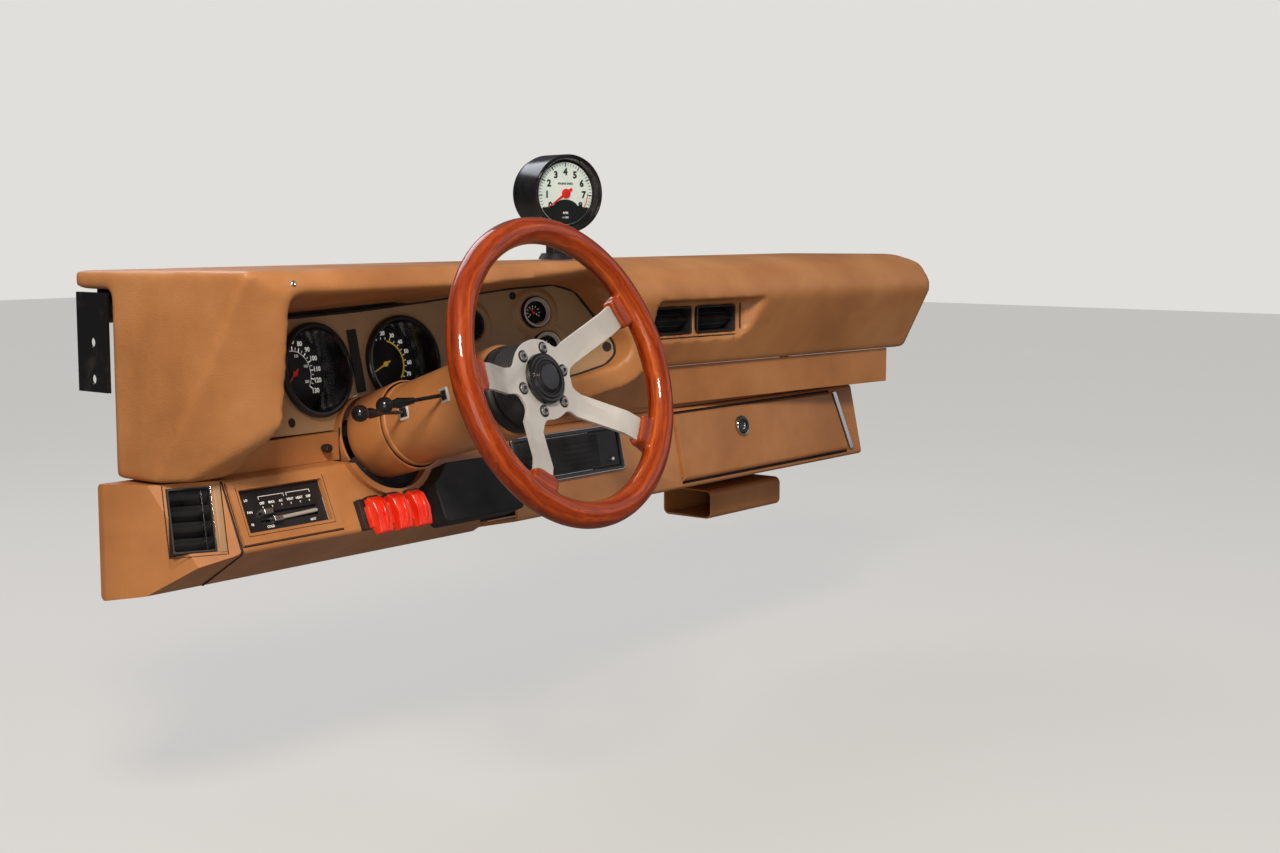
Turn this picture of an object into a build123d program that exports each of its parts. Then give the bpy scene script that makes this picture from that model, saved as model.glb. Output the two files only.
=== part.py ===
"""Dashboard of a two-door car with its steering column and steering wheel.

Millimetres. +X points to the passenger side, +Y to the front of the car, +Z up. The origin is the middle
bolt hole of the cowl rail, under the foot of the windshield.
"""

import math
import os

from build123d import *

os.makedirs("parts", exist_ok=True)

# Clearance between a piece and its seat, and a length beyond any piece for cuts that go right through
SEAT = 0.3
FAR = 600.0

# Padded hood and pad: the ends, the top and the sections that are drawn in Y and Z
PAD_LEFT = -690.0
PAD_RIGHT = 740.0
PAD_TOP = 33.0
PAD_WALL = 20.0
BROW_Y = -290.0
BROW_RISE = 5.0
BROW_LIP = 24.0
BROW_FLAT = 8.0
# Place across the car and how far the brow's edge has swept forward there
BROW_SWEEP = ((-170.0, 0.0), (-60.0, 12.0), (42.0, 58.0))
HOOD_CORNER_Y = -250.0
HOOD_CORNER_Z = -129.0
HOOD_FOOT_Y = -155.0
HOOD_FOOT_Z = -190.0
# Corners of the hood's section and their radii
HOOD_ROUNDS = ((1, 8.0), (2, 6.0), (3, 25.0))
# The wing at the door, where the rear face sweeps forward: height, then its near and far ends in X and Y
WING = ((60.0, (-656.0, -304.0), (-690.0, -296.0)), (-240.0, (-586.0, -218.0), (-690.0, -88.0)))
WING_REACH = 60.0
WING_BACK = -420.0
FACE_SWEEP = 70.0
FACE_LEFT = 20.0
HOLLOW_Y = -62.0
FACE_HOLLOW_Y = -140.0
FACE_HOLLOW_LEFT = 60.0
FACE_HOLLOW_SLOPE = 10.0
# Corners of the passenger's section and their radii
FACE_ROUNDS = ((1, 80.0), (2, 30.0), (3, 25.0), (5, 8.0))

# Pocket of the gauges: soffit heights at the brow and at its front end, and its left wall
POCKET_REAR_Y = -310.0
POCKET_FRONT_Y = -55.0
SOFFIT_REAR = 17.0
SOFFIT_LEFT = -33.0
SOFFIT_RIGHT = -1.0
POCKET_WALL_TOP = -632.0
POCKET_WALL_FOOT = -586.0
POCKET_FLOOR = -260.0

# Lip that runs round the right end of the gauge plate and back to the column
LIP_PROUD = 27.0
LIP_BACK = 30.0
LIP_LEFT = -290.0
LIP_RIGHT = 42.0
LIP_FOOT = -160.0
LIP_WIDTH = 34.0

# Gauge plate: a thin sheet, curved in plan round the driver, that leans back at its foot
PLATE_X = -400.0
PLATE_Y = -105.0
PLATE_Z = -85.0
PLATE_LEAN = 10.0
PLATE_RADIUS = 850.0
PLATE_THICK = 3.0
PLATE_FIT = 0.4
# Blank that the plate is cut from: its left end, middle and right end across it
PLATE_BLANK = (-250.0, 100.0, 450.0)
PLATE_TALL = 240.0

# Large gauges, across and up the plate, and the small ones
LARGE_BEZEL_RADIUS = 56.5
LARGE_BEZEL_PROUD = 10.0
LARGE_CAN_RADIUS = 50.0
LARGE_CAN_DEPTH = 50.0
LARGE_DIAL_DEPTH = 22.0
LARGE_GAUGES = (("gauge_left", -41.0, -2.0), ("gauge_right", 98.0, 0.0))
SMALL_BEZEL_RADIUS = 21.0
SMALL_BEZEL_PROUD = 6.0
SMALL_CAN_RADIUS = 18.0
SMALL_CAN_DEPTH = 42.0
SMALL_DIAL_DEPTH = 5.0
SMALL_GAUGES = ((206.0, 37.0), (302.0, 45.0), (311.0, -1.0))
BEZEL_DRAFT = 6.0
BEZEL_ROLL = 3.0
LAMP_PLACE = (27.0, 5.0)
LAMP_TILT = 3.0
LAMP_WIDTH = 14.0
LAMP_HEIGHT = 76.0
LAMP_PROUD = 2.5

# Steering column: the wheel's centre, the rake and stations forward from the wheel along the axis
WHEEL_X = -370.0
WHEEL_Y = -430.0
WHEEL_Z = -75.0
COLUMN_RAKE = 17.8
RIM_RADIUS = 160.0
RIM_TUBE = 15.0
DISH = 34.0
SPOKE_ANGLES = (27.0, -34.5, -123.5, 177.5)
SPOKE_WIDTH = 29.0
SPOKE_THICK = 3.5
SPOKE_REACH = 136.0
SPOKE_TIP = 4.0
SPOKE_KNEE = 8.0
SPOKE_FILLET = 12.0
SPOKE_BEND_INNER = 62.0
SPOKE_BEND_OUTER = 112.0
HUB_RADIUS = 46.0
HORN_RADIUS = 29.0
HORN_PROUD = 9.0
# Steps of the button: height above the plate and how far inside its edge
HORN_STEPS = ((4.0, 0.0), (6.0, 5.0), (HORN_PROUD, 12.0))
HORN_CROWN = 2.0
BOOT_BACK = 70.0
BOOT_RADIUS = 47.0
# Steps of the boot: depth behind the plate and radius
BOOT_STEPS = ((4.0, 38.0), (14.0, 44.0), (28.0, BOOT_RADIUS))
COVER_START = 71.0
COVER_END = 82.0
COVER_RADIUS = 50.0
COVER_BEVEL = (4.0, 6.0)
HEAD_START = 82.3
HEAD_RADIUS = 54.0
NECK_RADIUS = 48.0
TILT_STATION = 250.0
SHROUD_START = 245.0
SHROUD_END = 308.0
SHROUD_RADIUS = 54.0
SHROUD_WALL = 2.0
SHROUD_TAPER = 3.0
JACKET_RADIUS = 32.0
JACKET_WALL = 2.5
JACKET_START = TILT_STATION + 45.0
JACKET_END = 640.0
FLANGE_START = 590.0
FLANGE_THICK = 5.0
FLANGE_RADIUS = 62.0
FLANGE_CIRCLE = 98.0
FLANGE_BOLTS = 4
FLANGE_BOLT_RADIUS = 4.5
SHAFT_RADIUS = 10.0
SHAFT_END = 720.0
SPLINE_START = 655.0
SPLINE_RUNOUT = 3.0
SPLINE_RADIUS = 8.5
SHAFT_FIT = 0.3
SHAFT_SHORT = 6.0
BEARING_WIDTH = 14.0
DOME_END = 50.0
DOME_WALL = 8.0
DOME_BORE = 12.0
PIN_RADIUS = 4.0
PIN_DEPTH = 10.0
PIN_FIT = 0.1
PIN_STEP = 1.0
BLOCK_START = 127.0
BLOCK_LENGTH = 24.0
BLOCK_WIDTH = 36.0
BLOCK_THICK = 18.0
BLOCK_BACK = 15.0
BLOCK_CORNER = 6.0
SLOT_BACK = 2.4
SCREW_CIRCLE = 74.0
SCREW_COUNT = 6
SCREW_START = 12.0
SCREW_RADIUS = 3.0

LOWER_FACE_TOP_Y = -154.0
LOWER_FACE_TOP_Z = -192.0
LOWER_FACE_FOOT_Y = -187.0
LOWER_FACE_FOOT_Z = -268.0
LOWER_TAIL_Y = -116.0
LOWER_TAIL_Z = -312.0
PANEL_THICK = 4.0
LOWER_LEFT = -620.0

# Lower strip and the collar round the column
STRIP_LEFT = -596.0
STRIP_RIGHT = -421.0
STRIP_TOP = -159.0
STRIP_FOOT = LOWER_FACE_TOP_Z + SEAT
STRIP_Y = -128.0
STRIP_THICK = 10.0
COLLAR_START = 312.0
COLLAR_END = 345.0
COLLAR_RADIUS = 54.5
COLLAR_WALL = 3.5
COLLAR_FIT = 0.5
KNOB_X = -449.0
KNOB_RADIUS = 7.0
KNOB_STEM = 2.7
KNOB_PROUD = 12.0
KNOB_BEVEL = 1.5
KNOB_TAIL = 8.0

# Lower panel, left of the tunnel, and the openings in its face, measured across and up the face
PANEL_FLANGE = 38.0
PANEL_FOLD = 6.0
SADDLE_RADIUS = 68.0
SADDLE_RIM = 8.0
SADDLE_PROUD = 8.0
SADDLE_START = 330.0
SADDLE_LENGTH = 72.0
CONTROL_LEFT = -605.0
CONTROL_WIDTH = 120.0
CONTROL_TOP = -14.0
CONTROL_HEIGHT = 49.0
CONTROL_DEPTH = 26.0
CONTROL_SUNK = 4.0
SLIDER_MIDDLE = 66.0
SLIDER_LENGTH = 84.0
SLIDER_SLOT = 3.0
SLIDER_KNOB = (7.0, 6.0)
SLIDER_PROUD = 1.0
# Up the control from its foot, and the knob's place across it
SLIDERS = ((20.5, 38.0), (11.5, 44.0))
FRAME_BORDER = 12.0
FRAME_PROUD = 3.0
FRAME_ROOT = 1.0
SEAM_X = -181.0
SEAM_GAP = 1.0
SWITCH_LEFT = -446.0
SWITCH_TOP = -47.0
SWITCH_WIDTH = 100.0
SWITCH_HEIGHT = 36.0
SWITCH_THICK = 9.0
COVER_COUNT = 3
COVER_PITCH = 32.0
COVER_WIDTH = 21.0
COVER_LENGTH = 46.0
COVER_RISE = 19.0
# Side of a cover from its hinge: shares of its length and of its rise
COVER_SIDE = ((0.02, 0), (0.02, 0.4), (0.15, 0.8), (0.55, 1), (1, 0.75), (1, 0.2), (0.75, 0))
BOX_LEFT = -338.0
BOX_WIDTH = 142.0
BOX_TOP = -24.0
BOX_HEIGHT = 72.0
BOX_PROUD = 30.0
BOX_RADIUS = 8.0
# End piece at the door, with its vent
END_TURN = 25.0
END_LEFT = -690.0
END_CAP_LEFT = -714.0
END_GAP = 0.6
END_FRONT = -66.0
END_DROP = 8.0
# Outer side of the end piece: a point in front of the face's top edge, and the way it looks
END_SIDE_FORWARD = 30.0
END_SIDE_OUT = (49.0, 25.0, 0.0)
VENT_LEFT = 13.0
VENT_DOWN = 5.0
VENT_WIDTH = 48.0
VENT_HEIGHT = 72.0
VENT_DEPTH = 30.0
VENT_PROUD = 1.5
VENT_BORDER = 3.0
VENT_SLATS = 3
VENT_SLAT_SUNK = 4.0
VENT_SLAT_DEEP = 18.0

# Right side: the glove box face, its door, bin, lock and the bright end strip
GLOVE_TOP_Y = -170.0
GLOVE_TOP_Z = -180.0
GLOVE_FOOT_Y = -194.0
GLOVE_FOOT_Z = -291.0
GLOVE_TAIL_Y = -61.0
GLOVE_TAIL_Z = -320.0
GLOVE_RIGHT = 676.0
DOOR_LEFT = 180.0
DOOR_RIGHT = 606.0
# The right end slants: its foot lies this much further right than its top
DOOR_SLANT = 26.0
DOOR_TOP = -7.5
DOOR_FOOT = -104.0
DOOR_THICK = 14.0
DOOR_GAP = 4.0
DOOR_PROUD = 4.0
DOOR_EDGE = 3.0
HINGE_RADIUS = 3.0
HINGE_DEPTH = 10.0
HINGE_FIT = 0.1
EAR_THICK = 8.0
EAR_TALL = 16.0
PIN_ROOT = 1.0
BIN_DEPTH = 150.0
BIN_WALL = 2.5
BIN_SIDE = 16.0
BIN_BELOW = 4.4
BIN_ABOVE = 3.0
LOCK_X = 339.0
LOCK_UP = -38.0
LOCK_RADIUS = 15.0
LOCK_PROUD = 5.0
LOCK_ROLL = 2.0
END_STRIP_WIDTH = 11.0
END_STRIP_OFF = 2.0
END_STRIP_PROUD = 4.0
RADIO_CENTRE = -64.0
RADIO_WIDTH = 210.0
RADIO_HEIGHT = 50.0
RADIO_UP = -40.0
RADIO_DEPTH = 100.0
RADIO_PROUD = 2.0
RADIO_BORDER = 6.0
RADIO_CORNER = 5.0
RADIO_FRAME_PROUD = 4.0
FASCIA_LEFT = -160.0
FASCIA_SHORT = 40.0
FASCIA_Y = -158.0
FASCIA_SWEEP = 66.0
FASCIA_FRONT = -110.0
FASCIA_FOOT = -172.0
FASCIA_THICK = 4.0
DUCT_LEFT = 336.0
DUCT_RIGHT = 529.0
DUCT_REAR = -130.0
DUCT_DEEP = 90.0
DUCT_TALL = 44.0
DUCT_FOOT = GLOVE_TAIL_Z - DUCT_TALL - SEAT
DUCT_WALL = 2.5
DUCT_CORNER = 10.0

# Centre vents in their recess, across and up their plane
VENT_PLANE_Y = -178.0
RECESS_LEFT = 78.0
RECESS_RIGHT = 282.0
RECESS_TOP = -26.0
RECESS_FOOT = -79.0
RECESS_CORNER = 12.0
RECESS_CHAMFER = 30.0
RECESS_DRAFT = 6.0
RECESS_LOFT = 40.0
LOUVRE_WIDTH = 80.0
LOUVRE_HEIGHT = 33.0
LOUVRE_CENTRES = (130.0, 226.0)
LOUVRE_UP = -51.5
LOUVRE_BORDER = 2.5
LOUVRE_PROUD = 1.5
LOUVRE_DEPTH = 60.0
LOUVRE_SLATS = 3
SLAT_SUNK = 8.0
SLAT_DEEP = 24.0
SLAT_THICK = 2.0

# Steel behind the pad: the cowl rail, the cross beam, the end plates, the posts and the hangers
RAIL_LEFT = PAD_LEFT + 30.0
RAIL_RIGHT = PAD_RIGHT - 30.0
RAIL_TOP = PAD_TOP - PAD_WALL - SEAT
RAIL_FOOT = -20.0
RAIL_THICK = 3.0
RAIL_BOLTS = 5
RAIL_PITCH = 310.0
RAIL_BOLT_RADIUS = 4.5
BEAM_Y = -30.0
BEAM_Z = -8.0
BEAM_RADIUS = 16.0
BEAM_WALL = 2.0
END_PLATE_THICK = 4.0
BEAM_LEFT = PAD_LEFT + END_PLATE_THICK
BEAM_RIGHT = PAD_RIGHT - END_PLATE_THICK
END_PLATE_WIDE = 52.0
END_PLATE_TALL = 108.0
END_PLATE_Z = -44.0
END_BOLT_Z = -64.0
END_BOLT_PITCH = 40.0
END_BOLT_RADIUS = 5.5
POST_SPACING = 480.0
POST_WIDTH = 40.0
POST_TALL = 10.0
POST_ROOT = 1.0
BRACKET_STATION = 420.0
BRACKET_LENGTH = 36.0
BRACKET_THICK = 6.0
BRACKET_RING = 5.0
BRACKET_TOP = 70.0
BRACE_WIDTH = 24.0
BRACE_THICK = 3.0
BRACE_GRIP = 6.0
# Place across the car, height of the panel's flange and the panel's top corner in Y
BRACES = (
    (-540.0, LOWER_FACE_TOP_Z, LOWER_FACE_TOP_Y),
    (-215.0, LOWER_FACE_TOP_Z, LOWER_FACE_TOP_Y),
    (90.0, GLOVE_TOP_Z, GLOVE_TOP_Y),
    (GLOVE_RIGHT - BRACE_WIDTH / 2, GLOVE_TOP_Z, GLOVE_TOP_Y),
)

# Tachometer on its foot on top of the pad
TACH_X = 6.0
TACH_Y = -100.0
TACH_Z = 124.0
TACH_TURN = 20.0
TACH_RADIUS = 52.0
TACH_DEPTH = 76.0
TACH_WALL = 4.0
TACH_SHOULDER = 16.0
TACH_RECESS = 12.0
TACH_FOOT_RADIUS = 24.0
TACH_FOOT_LIFT = 2.7
TACH_FOOT_THICK = 8.0
TACH_FOOT_TAPER = 30.0
TACH_NECK_WIDE = 26.0
TACH_NECK_DEEP = 16.0
TACH_NECK_CORNER = 3.0

# Levers on the column's head: height and station of the base, then the ball's centre across, up and station
LEVER_RADIUS = 3.2
LEVER_KNOB = 9.0
LEVER_OFF = 1.2
LEVERS = (
    ("turn_lever", 12.0, 136.0, (-132.0, 10.0, 150.0)),
    ("tilt_lever", 9.0, 186.0, (-132.0, 11.0, 190.0)),
)

RAKE = math.radians(COLUMN_RAKE)
LEAN = math.radians(PLATE_LEAN)
WHEEL_CENTRE = Vector(WHEEL_X, WHEEL_Y, WHEEL_Z)
FORWARD = Vector(0, math.cos(RAKE), -math.sin(RAKE))
COLUMN_AXIS = Axis(WHEEL_CENTRE, FORWARD)
# Seen from the driver's seat: X across, Y up the wheel and Z toward the driver
WHEEL_PLANE = Plane(origin=WHEEL_CENTRE, x_dir=(1, 0, 0), z_dir=-FORWARD)
# Half sections of what turns about the column: X is the station, Y the radius
COLUMN_SIDE = Plane(origin=WHEEL_CENTRE, x_dir=FORWARD, z_dir=(1, 0, 0))
PLATE = Plane(
    origin=(PLATE_X, PLATE_Y, PLATE_Z),
    x_dir=(1, 0, 0),
    z_dir=(0, -math.cos(LEAN), math.sin(LEAN)),
)


def station(distance):
    """Plane square to the column, a distance forward from the wheel's centre."""
    return WHEEL_PLANE.offset(-distance)


def plate_depth(across):
    """How far the curved plate stands toward the driver at a distance across it."""
    return PLATE_RADIUS - math.sqrt(PLATE_RADIUS**2 - across**2)


def turned(plane, angle):
    """The plane turned about its own upward axis, so that it looks more to its X side."""
    swing = math.radians(angle)
    x_dir = plane.x_dir * math.cos(swing) - plane.z_dir * math.sin(swing)
    z_dir = plane.z_dir * math.cos(swing) + plane.x_dir * math.sin(swing)
    return Plane(origin=plane.origin, x_dir=x_dir, z_dir=z_dir)


def on_plate(across, up):
    """Plane square to the gauge plate at a point of its driver's face."""
    centre = PLATE.from_local_coords((across, up, plate_depth(across)))
    turn = math.degrees(math.asin(across / PLATE_RADIUS))
    return turned(Plane(origin=centre, x_dir=PLATE.x_dir, z_dir=PLATE.z_dir), -turn)


def half_section(*corners):
    """Face to turn about the column, from corners given as station and radius."""
    with BuildSketch(COLUMN_SIDE) as section:
        with BuildLine():
            Polyline(*corners, close=True)
        make_face()
    return section.sketch


def finish(piece, name):
    """Label a piece and write it."""
    piece.part.label = name
    export_step(piece.part, f"parts/{name}.step")


# Padded hood and pad in one skin, hollow behind and open to the front
HOOD_SECTION = (
    (0, PAD_TOP),
    (BROW_Y + BROW_FLAT, PAD_TOP + BROW_RISE),
    (BROW_Y, PAD_TOP + BROW_RISE - BROW_LIP),
    (HOOD_CORNER_Y, HOOD_CORNER_Z),
    (HOOD_FOOT_Y, HOOD_FOOT_Z),
    (0, HOOD_FOOT_Z),
)
# The passenger's pad at its right end; at its left end the same section stands forward by the sweep
FACE_SECTION = ((-215, 35), (-262, 22), (-286, -12), (-270, -46), (-235, -118))
FACE_FOOT_Z = FACE_SECTION[-1][1]
SWEEP_ANGLE = math.atan(FACE_SWEEP / (PAD_RIGHT - FACE_LEFT))
# Plane of the centre vents, upright and in line with the sweep: X across, Y up and Z out
VENT_FACE = Plane(
    origin=(FACE_LEFT, VENT_PLANE_Y, 0),
    x_dir=(math.cos(SWEEP_ANGLE), -math.sin(SWEEP_ANGLE), 0),
    z_dir=(-math.sin(SWEEP_ANGLE), -math.cos(SWEEP_ANGLE), 0),
)


def yz_face(x, corners, rounds=()):
    """Face in Y and Z at a place across the car; rounds gives a corner's number and its radius."""
    with BuildSketch(Plane.YZ.offset(x)) as section:
        with BuildLine():
            Polyline(*corners, close=True)
        make_face()
        for number, radius in rounds:
            fillet(section.vertices().sort_by_distance(corners[number])[0], radius)
    return section.sketch


def plate_arc(lift, left, right):
    """Arc of the plate in plan at its middle height, lifted toward the driver."""
    radius = PLATE_RADIUS - lift
    centre_y = PLATE_Y - PLATE_RADIUS

    def at(x):
        return (x, centre_y + math.sqrt(radius**2 - (x - PLATE_X) ** 2))

    return ThreePointArc(at(left), at((left + right) / 2), at(right))


# Outline of the plate, across and up it, from the foot of its left end
PLATE_OUTLINE = (
    (-197, -74), (-197, 58), (-71, 61), (40, 65), (176, 73), (268, 79), (330, 79), (358, 68),
    (378, 34), (400, -6), (400, -22), (385, -34), (348, -42), (190, -62), (120, -74),
)


def plate_outline(grow, kind=Kind.INTERSECTION):
    """Outline of the gauge plate, grown all round, on a plane behind the driver's side of it."""
    with BuildSketch(PLATE.offset(FAR / 2)) as outline:
        Polygon(*PLATE_OUTLINE, align=None)
        if grow:
            offset(amount=grow, kind=kind)
    return outline.sketch


def lip_body(spare):
    """Lip round the plate's right end, grown by spare: a curved slab cut to the plate's outline."""
    with BuildPart() as lip:
        with BuildSketch(Plane.XY.offset(LIP_FOOT - spare)):
            with BuildLine():
                rear = plate_arc(LIP_PROUD + spare, LIP_LEFT - spare, LIP_RIGHT)
                front = plate_arc(-LIP_BACK - spare, LIP_LEFT - spare, LIP_RIGHT)
                Line(rear @ 0, front @ 0)
                Line(rear @ 1, front @ 1)
            make_face()
        extrude(amount=SOFFIT_REAR - LIP_FOOT)
        extrude(plate_outline(LIP_WIDTH + spare, Kind.ARC), amount=-FAR, mode=Mode.INTERSECT)
    return lip.part


with BuildPart() as dash_pad:
    extrude(yz_face(PAD_LEFT, HOOD_SECTION, HOOD_ROUNDS), amount=LIP_RIGHT - PAD_LEFT)
    # The brow's edge sweeps forward to the lip at its right end
    with BuildSketch(Plane.XY.offset(-FAR / 2)):
        with BuildLine():
            edge = Polyline(*((x, BROW_Y + forward) for x, forward in BROW_SWEEP))
            Polyline(edge @ 1, (LIP_RIGHT, WING_BACK), (BROW_SWEEP[0][0], WING_BACK), edge @ 0)
        make_face()
    extrude(amount=FAR, mode=Mode.SUBTRACT)
    # The wing at the door: the rear face sweeps forward to the left end
    for height, near, far in WING:
        with BuildSketch(Plane.XY.offset(height)):
            with BuildLine():
                slope = (far[1] - near[1]) / (far[0] - near[0])
                reach = (far[0] - WING_REACH, far[1] - WING_REACH * slope)
                Polyline(near, reach, (reach[0], WING_BACK), (near[0], WING_BACK), close=True)
            make_face()
    loft(mode=Mode.SUBTRACT)
    # The pocket under the brow, open below the gauge plate
    pocket_right = LIP_RIGHT + PANEL_THICK
    for depth, left, right in (
        (POCKET_REAR_Y, SOFFIT_REAR, SOFFIT_REAR),
        (POCKET_FRONT_Y, SOFFIT_LEFT, SOFFIT_RIGHT),
    ):
        with BuildSketch(Plane.XZ.offset(-depth)):
            with BuildLine():
                Polyline(
                    (POCKET_WALL_TOP, left),
                    (pocket_right, right),
                    (pocket_right, POCKET_FLOOR),
                    (POCKET_WALL_FOOT, POCKET_FLOOR),
                    close=True,
                )
            make_face()
    loft(mode=Mode.SUBTRACT)
    add(lip_body(0))
    extrude(plate_outline(PLATE_FIT), amount=-FAR, mode=Mode.SUBTRACT)
    # The passenger's pad
    left_section = [(y + FACE_SWEEP, z) for y, z in FACE_SECTION]
    loft([
        yz_face(FACE_LEFT, ((0, PAD_TOP), *left_section, (0, FACE_FOOT_Z)), FACE_ROUNDS),
        yz_face(PAD_RIGHT, ((0, PAD_TOP), *FACE_SECTION, (0, FACE_FOOT_Z)), FACE_ROUNDS),
    ])
    # Hollow behind, open to the front and at both ends
    roof = PAD_TOP - PAD_WALL
    beyond = PAD_WALL
    extrude(
        yz_face(
            PAD_LEFT - beyond,
            ((beyond, roof), (HOLLOW_Y, roof), (HOLLOW_Y, POCKET_FLOOR), (beyond, POCKET_FLOOR)),
        ),
        amount=PAD_RIGHT - PAD_LEFT + 2 * beyond,
        mode=Mode.SUBTRACT,
    )
    floor = FACE_FOOT_Z + PAD_WALL
    extrude(
        yz_face(
            FACE_HOLLOW_LEFT,
            (
                (beyond, roof),
                (FACE_HOLLOW_Y, roof),
                (FACE_HOLLOW_Y + FACE_HOLLOW_SLOPE, floor),
                (beyond, floor),
            ),
        ),
        amount=PAD_RIGHT - 2 * PAD_WALL - FACE_HOLLOW_LEFT,
        mode=Mode.SUBTRACT,
    )
    # Recess of the centre vents, with a long chamfer at its right
    for level, spread in ((0, 0), (RECESS_LOFT, 1)):
        with BuildSketch(VENT_FACE.offset(level)):
            Polygon(
                (RECESS_LEFT - RECESS_DRAFT * spread, RECESS_TOP + RECESS_DRAFT * spread),
                (RECESS_RIGHT + RECESS_CHAMFER * spread, RECESS_TOP + RECESS_DRAFT * spread),
                (RECESS_RIGHT + RECESS_CHAMFER * spread, RECESS_FOOT + RECESS_CORNER),
                (RECESS_RIGHT - RECESS_CORNER, RECESS_FOOT - RECESS_DRAFT * spread),
                (RECESS_LEFT - RECESS_DRAFT * spread, RECESS_FOOT - RECESS_DRAFT * spread),
                align=None,
            )
    loft(mode=Mode.SUBTRACT)
    with BuildSketch(VENT_FACE):
        vent_spare = 2 * (LOUVRE_BORDER + SEAT)
        for centre in LOUVRE_CENTRES:
            with Locations((centre, LOUVRE_UP)):
                Rectangle(LOUVRE_WIDTH + vent_spare, LOUVRE_HEIGHT + vent_spare)
    extrude(amount=-LOUVRE_DEPTH, mode=Mode.SUBTRACT)
finish(dash_pad, "dash_pad")


# Gauge plate: the curved sheet cut to its outline, with its holes and the bay of the column
with BuildPart() as gauge_plate:
    with BuildSketch(Plane(origin=PLATE.origin, x_dir=PLATE.x_dir, z_dir=-PLATE.y_dir)):
        with BuildLine():
            for level in (0, -PLATE_THICK):
                ThreePointArc(*((x, plate_depth(x) + level) for x in PLATE_BLANK))
            for x in (PLATE_BLANK[0], PLATE_BLANK[-1]):
                Line((x, plate_depth(x)), (x, plate_depth(x) - PLATE_THICK))
        make_face()
    extrude(amount=PLATE_TALL / 2, both=True)
    extrude(plate_outline(0), amount=-FAR, mode=Mode.INTERSECT)
    with BuildSketch(station(0)):
        Circle(COLLAR_RADIUS + COLLAR_FIT)
    extrude(amount=-FAR, mode=Mode.SUBTRACT)
    for across, up, can in (
        *((across, up, LARGE_CAN_RADIUS) for name, across, up in LARGE_GAUGES),
        *((across, up, SMALL_CAN_RADIUS) for across, up in SMALL_GAUGES),
    ):
        with BuildSketch(on_plate(across, up).offset(can)):
            Circle(can + SEAT)
        extrude(amount=-2 * can, mode=Mode.SUBTRACT)
finish(gauge_plate, "gauge_plate")


def gauge(plane, bezel, proud, can, depth, dial):
    """Gauge in its can: a rolled bezel over the plate, a sunk dial and a closed can behind it."""
    # The plate is hollow toward the driver, so a flat bezel stands off it by the sagitta
    seat = SEAT + bezel**2 / (2 * PLATE_RADIUS)
    with BuildSketch(Plane(origin=plane.origin, x_dir=plane.x_dir, z_dir=-plane.y_dir)) as rim:
        with BuildLine():
            Polyline(
                (0, -dial),
                (can - BEZEL_DRAFT, -dial),
                (can - BEZEL_ROLL / 3, proud - BEZEL_ROLL * 2 / 3),
                (bezel - BEZEL_ROLL, proud),
                (bezel, proud - BEZEL_ROLL),
                (bezel, seat),
                (can, seat),
                (can, -depth),
                (0, -depth),
                close=True,
            )
        make_face()
    revolve(rim.sketch, axis=Axis(plane.origin, plane.z_dir))


for name, across, up in LARGE_GAUGES:
    with BuildPart() as large_gauge:
        gauge(on_plate(across, up), LARGE_BEZEL_RADIUS, LARGE_BEZEL_PROUD, LARGE_CAN_RADIUS, LARGE_CAN_DEPTH,
              LARGE_DIAL_DEPTH)
    finish(large_gauge, name)

with BuildPart() as small_gauges:
    for across, up in SMALL_GAUGES:
        gauge(on_plate(across, up), SMALL_BEZEL_RADIUS, SMALL_BEZEL_PROUD, SMALL_CAN_RADIUS, SMALL_CAN_DEPTH,
              SMALL_DIAL_DEPTH)
finish(small_gauges, "small_gauges")

# Strip of warning lamps between the large gauges
with BuildPart() as lamp_strip:
    with BuildSketch(on_plate(*LAMP_PLACE).offset(LAMP_WIDTH**2 / 8 / PLATE_RADIUS + SEAT)):
        with Locations(Location((0, 0, 0), (0, 0, 1), LAMP_TILT)):
            Rectangle(LAMP_WIDTH, LAMP_HEIGHT)
    extrude(amount=LAMP_PROUD)
finish(lamp_strip, "lamp_strip")


def face_plane(top_y, top_z, foot_y, foot_z):
    """Plane of a sloping panel: X across, Y up the face from its top edge, Z out of it."""
    rise = Vector(0, top_y - foot_y, top_z - foot_z).normalized()
    return Plane(origin=(0, top_y, top_z), x_dir=(1, 0, 0), z_dir=(0, -rise.Z, rise.Y))


LOWER_FACE = face_plane(LOWER_FACE_TOP_Y, LOWER_FACE_TOP_Z, LOWER_FACE_FOOT_Y, LOWER_FACE_FOOT_Z)
GLOVE_FACE = face_plane(GLOVE_TOP_Y, GLOVE_TOP_Z, GLOVE_FOOT_Y, GLOVE_FOOT_Z)


def box_on(plane, left, foot, width, height, low, high, mode=Mode.ADD):
    """Block on a face, given by its lower left corner, its size and its two levels."""
    with BuildSketch(plane.offset(low)) as face:
        with Locations((left, foot)):
            Rectangle(width, height, align=(Align.MIN, Align.MIN))
    extrude(face.sketch, amount=high - low, mode=mode)


def bent_sheet(left, right, path, thick):
    """Sheet of even thickness that follows a bent path in Y and Z, from left to right."""
    with BuildSketch(Plane.YZ.offset(left)) as section:
        with BuildLine():
            FilletPolyline(*path, radius=PANEL_FOLD)
            offset(amount=thick, side=Side.LEFT)
        make_face()
    extrude(section.sketch, amount=right - left)


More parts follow.
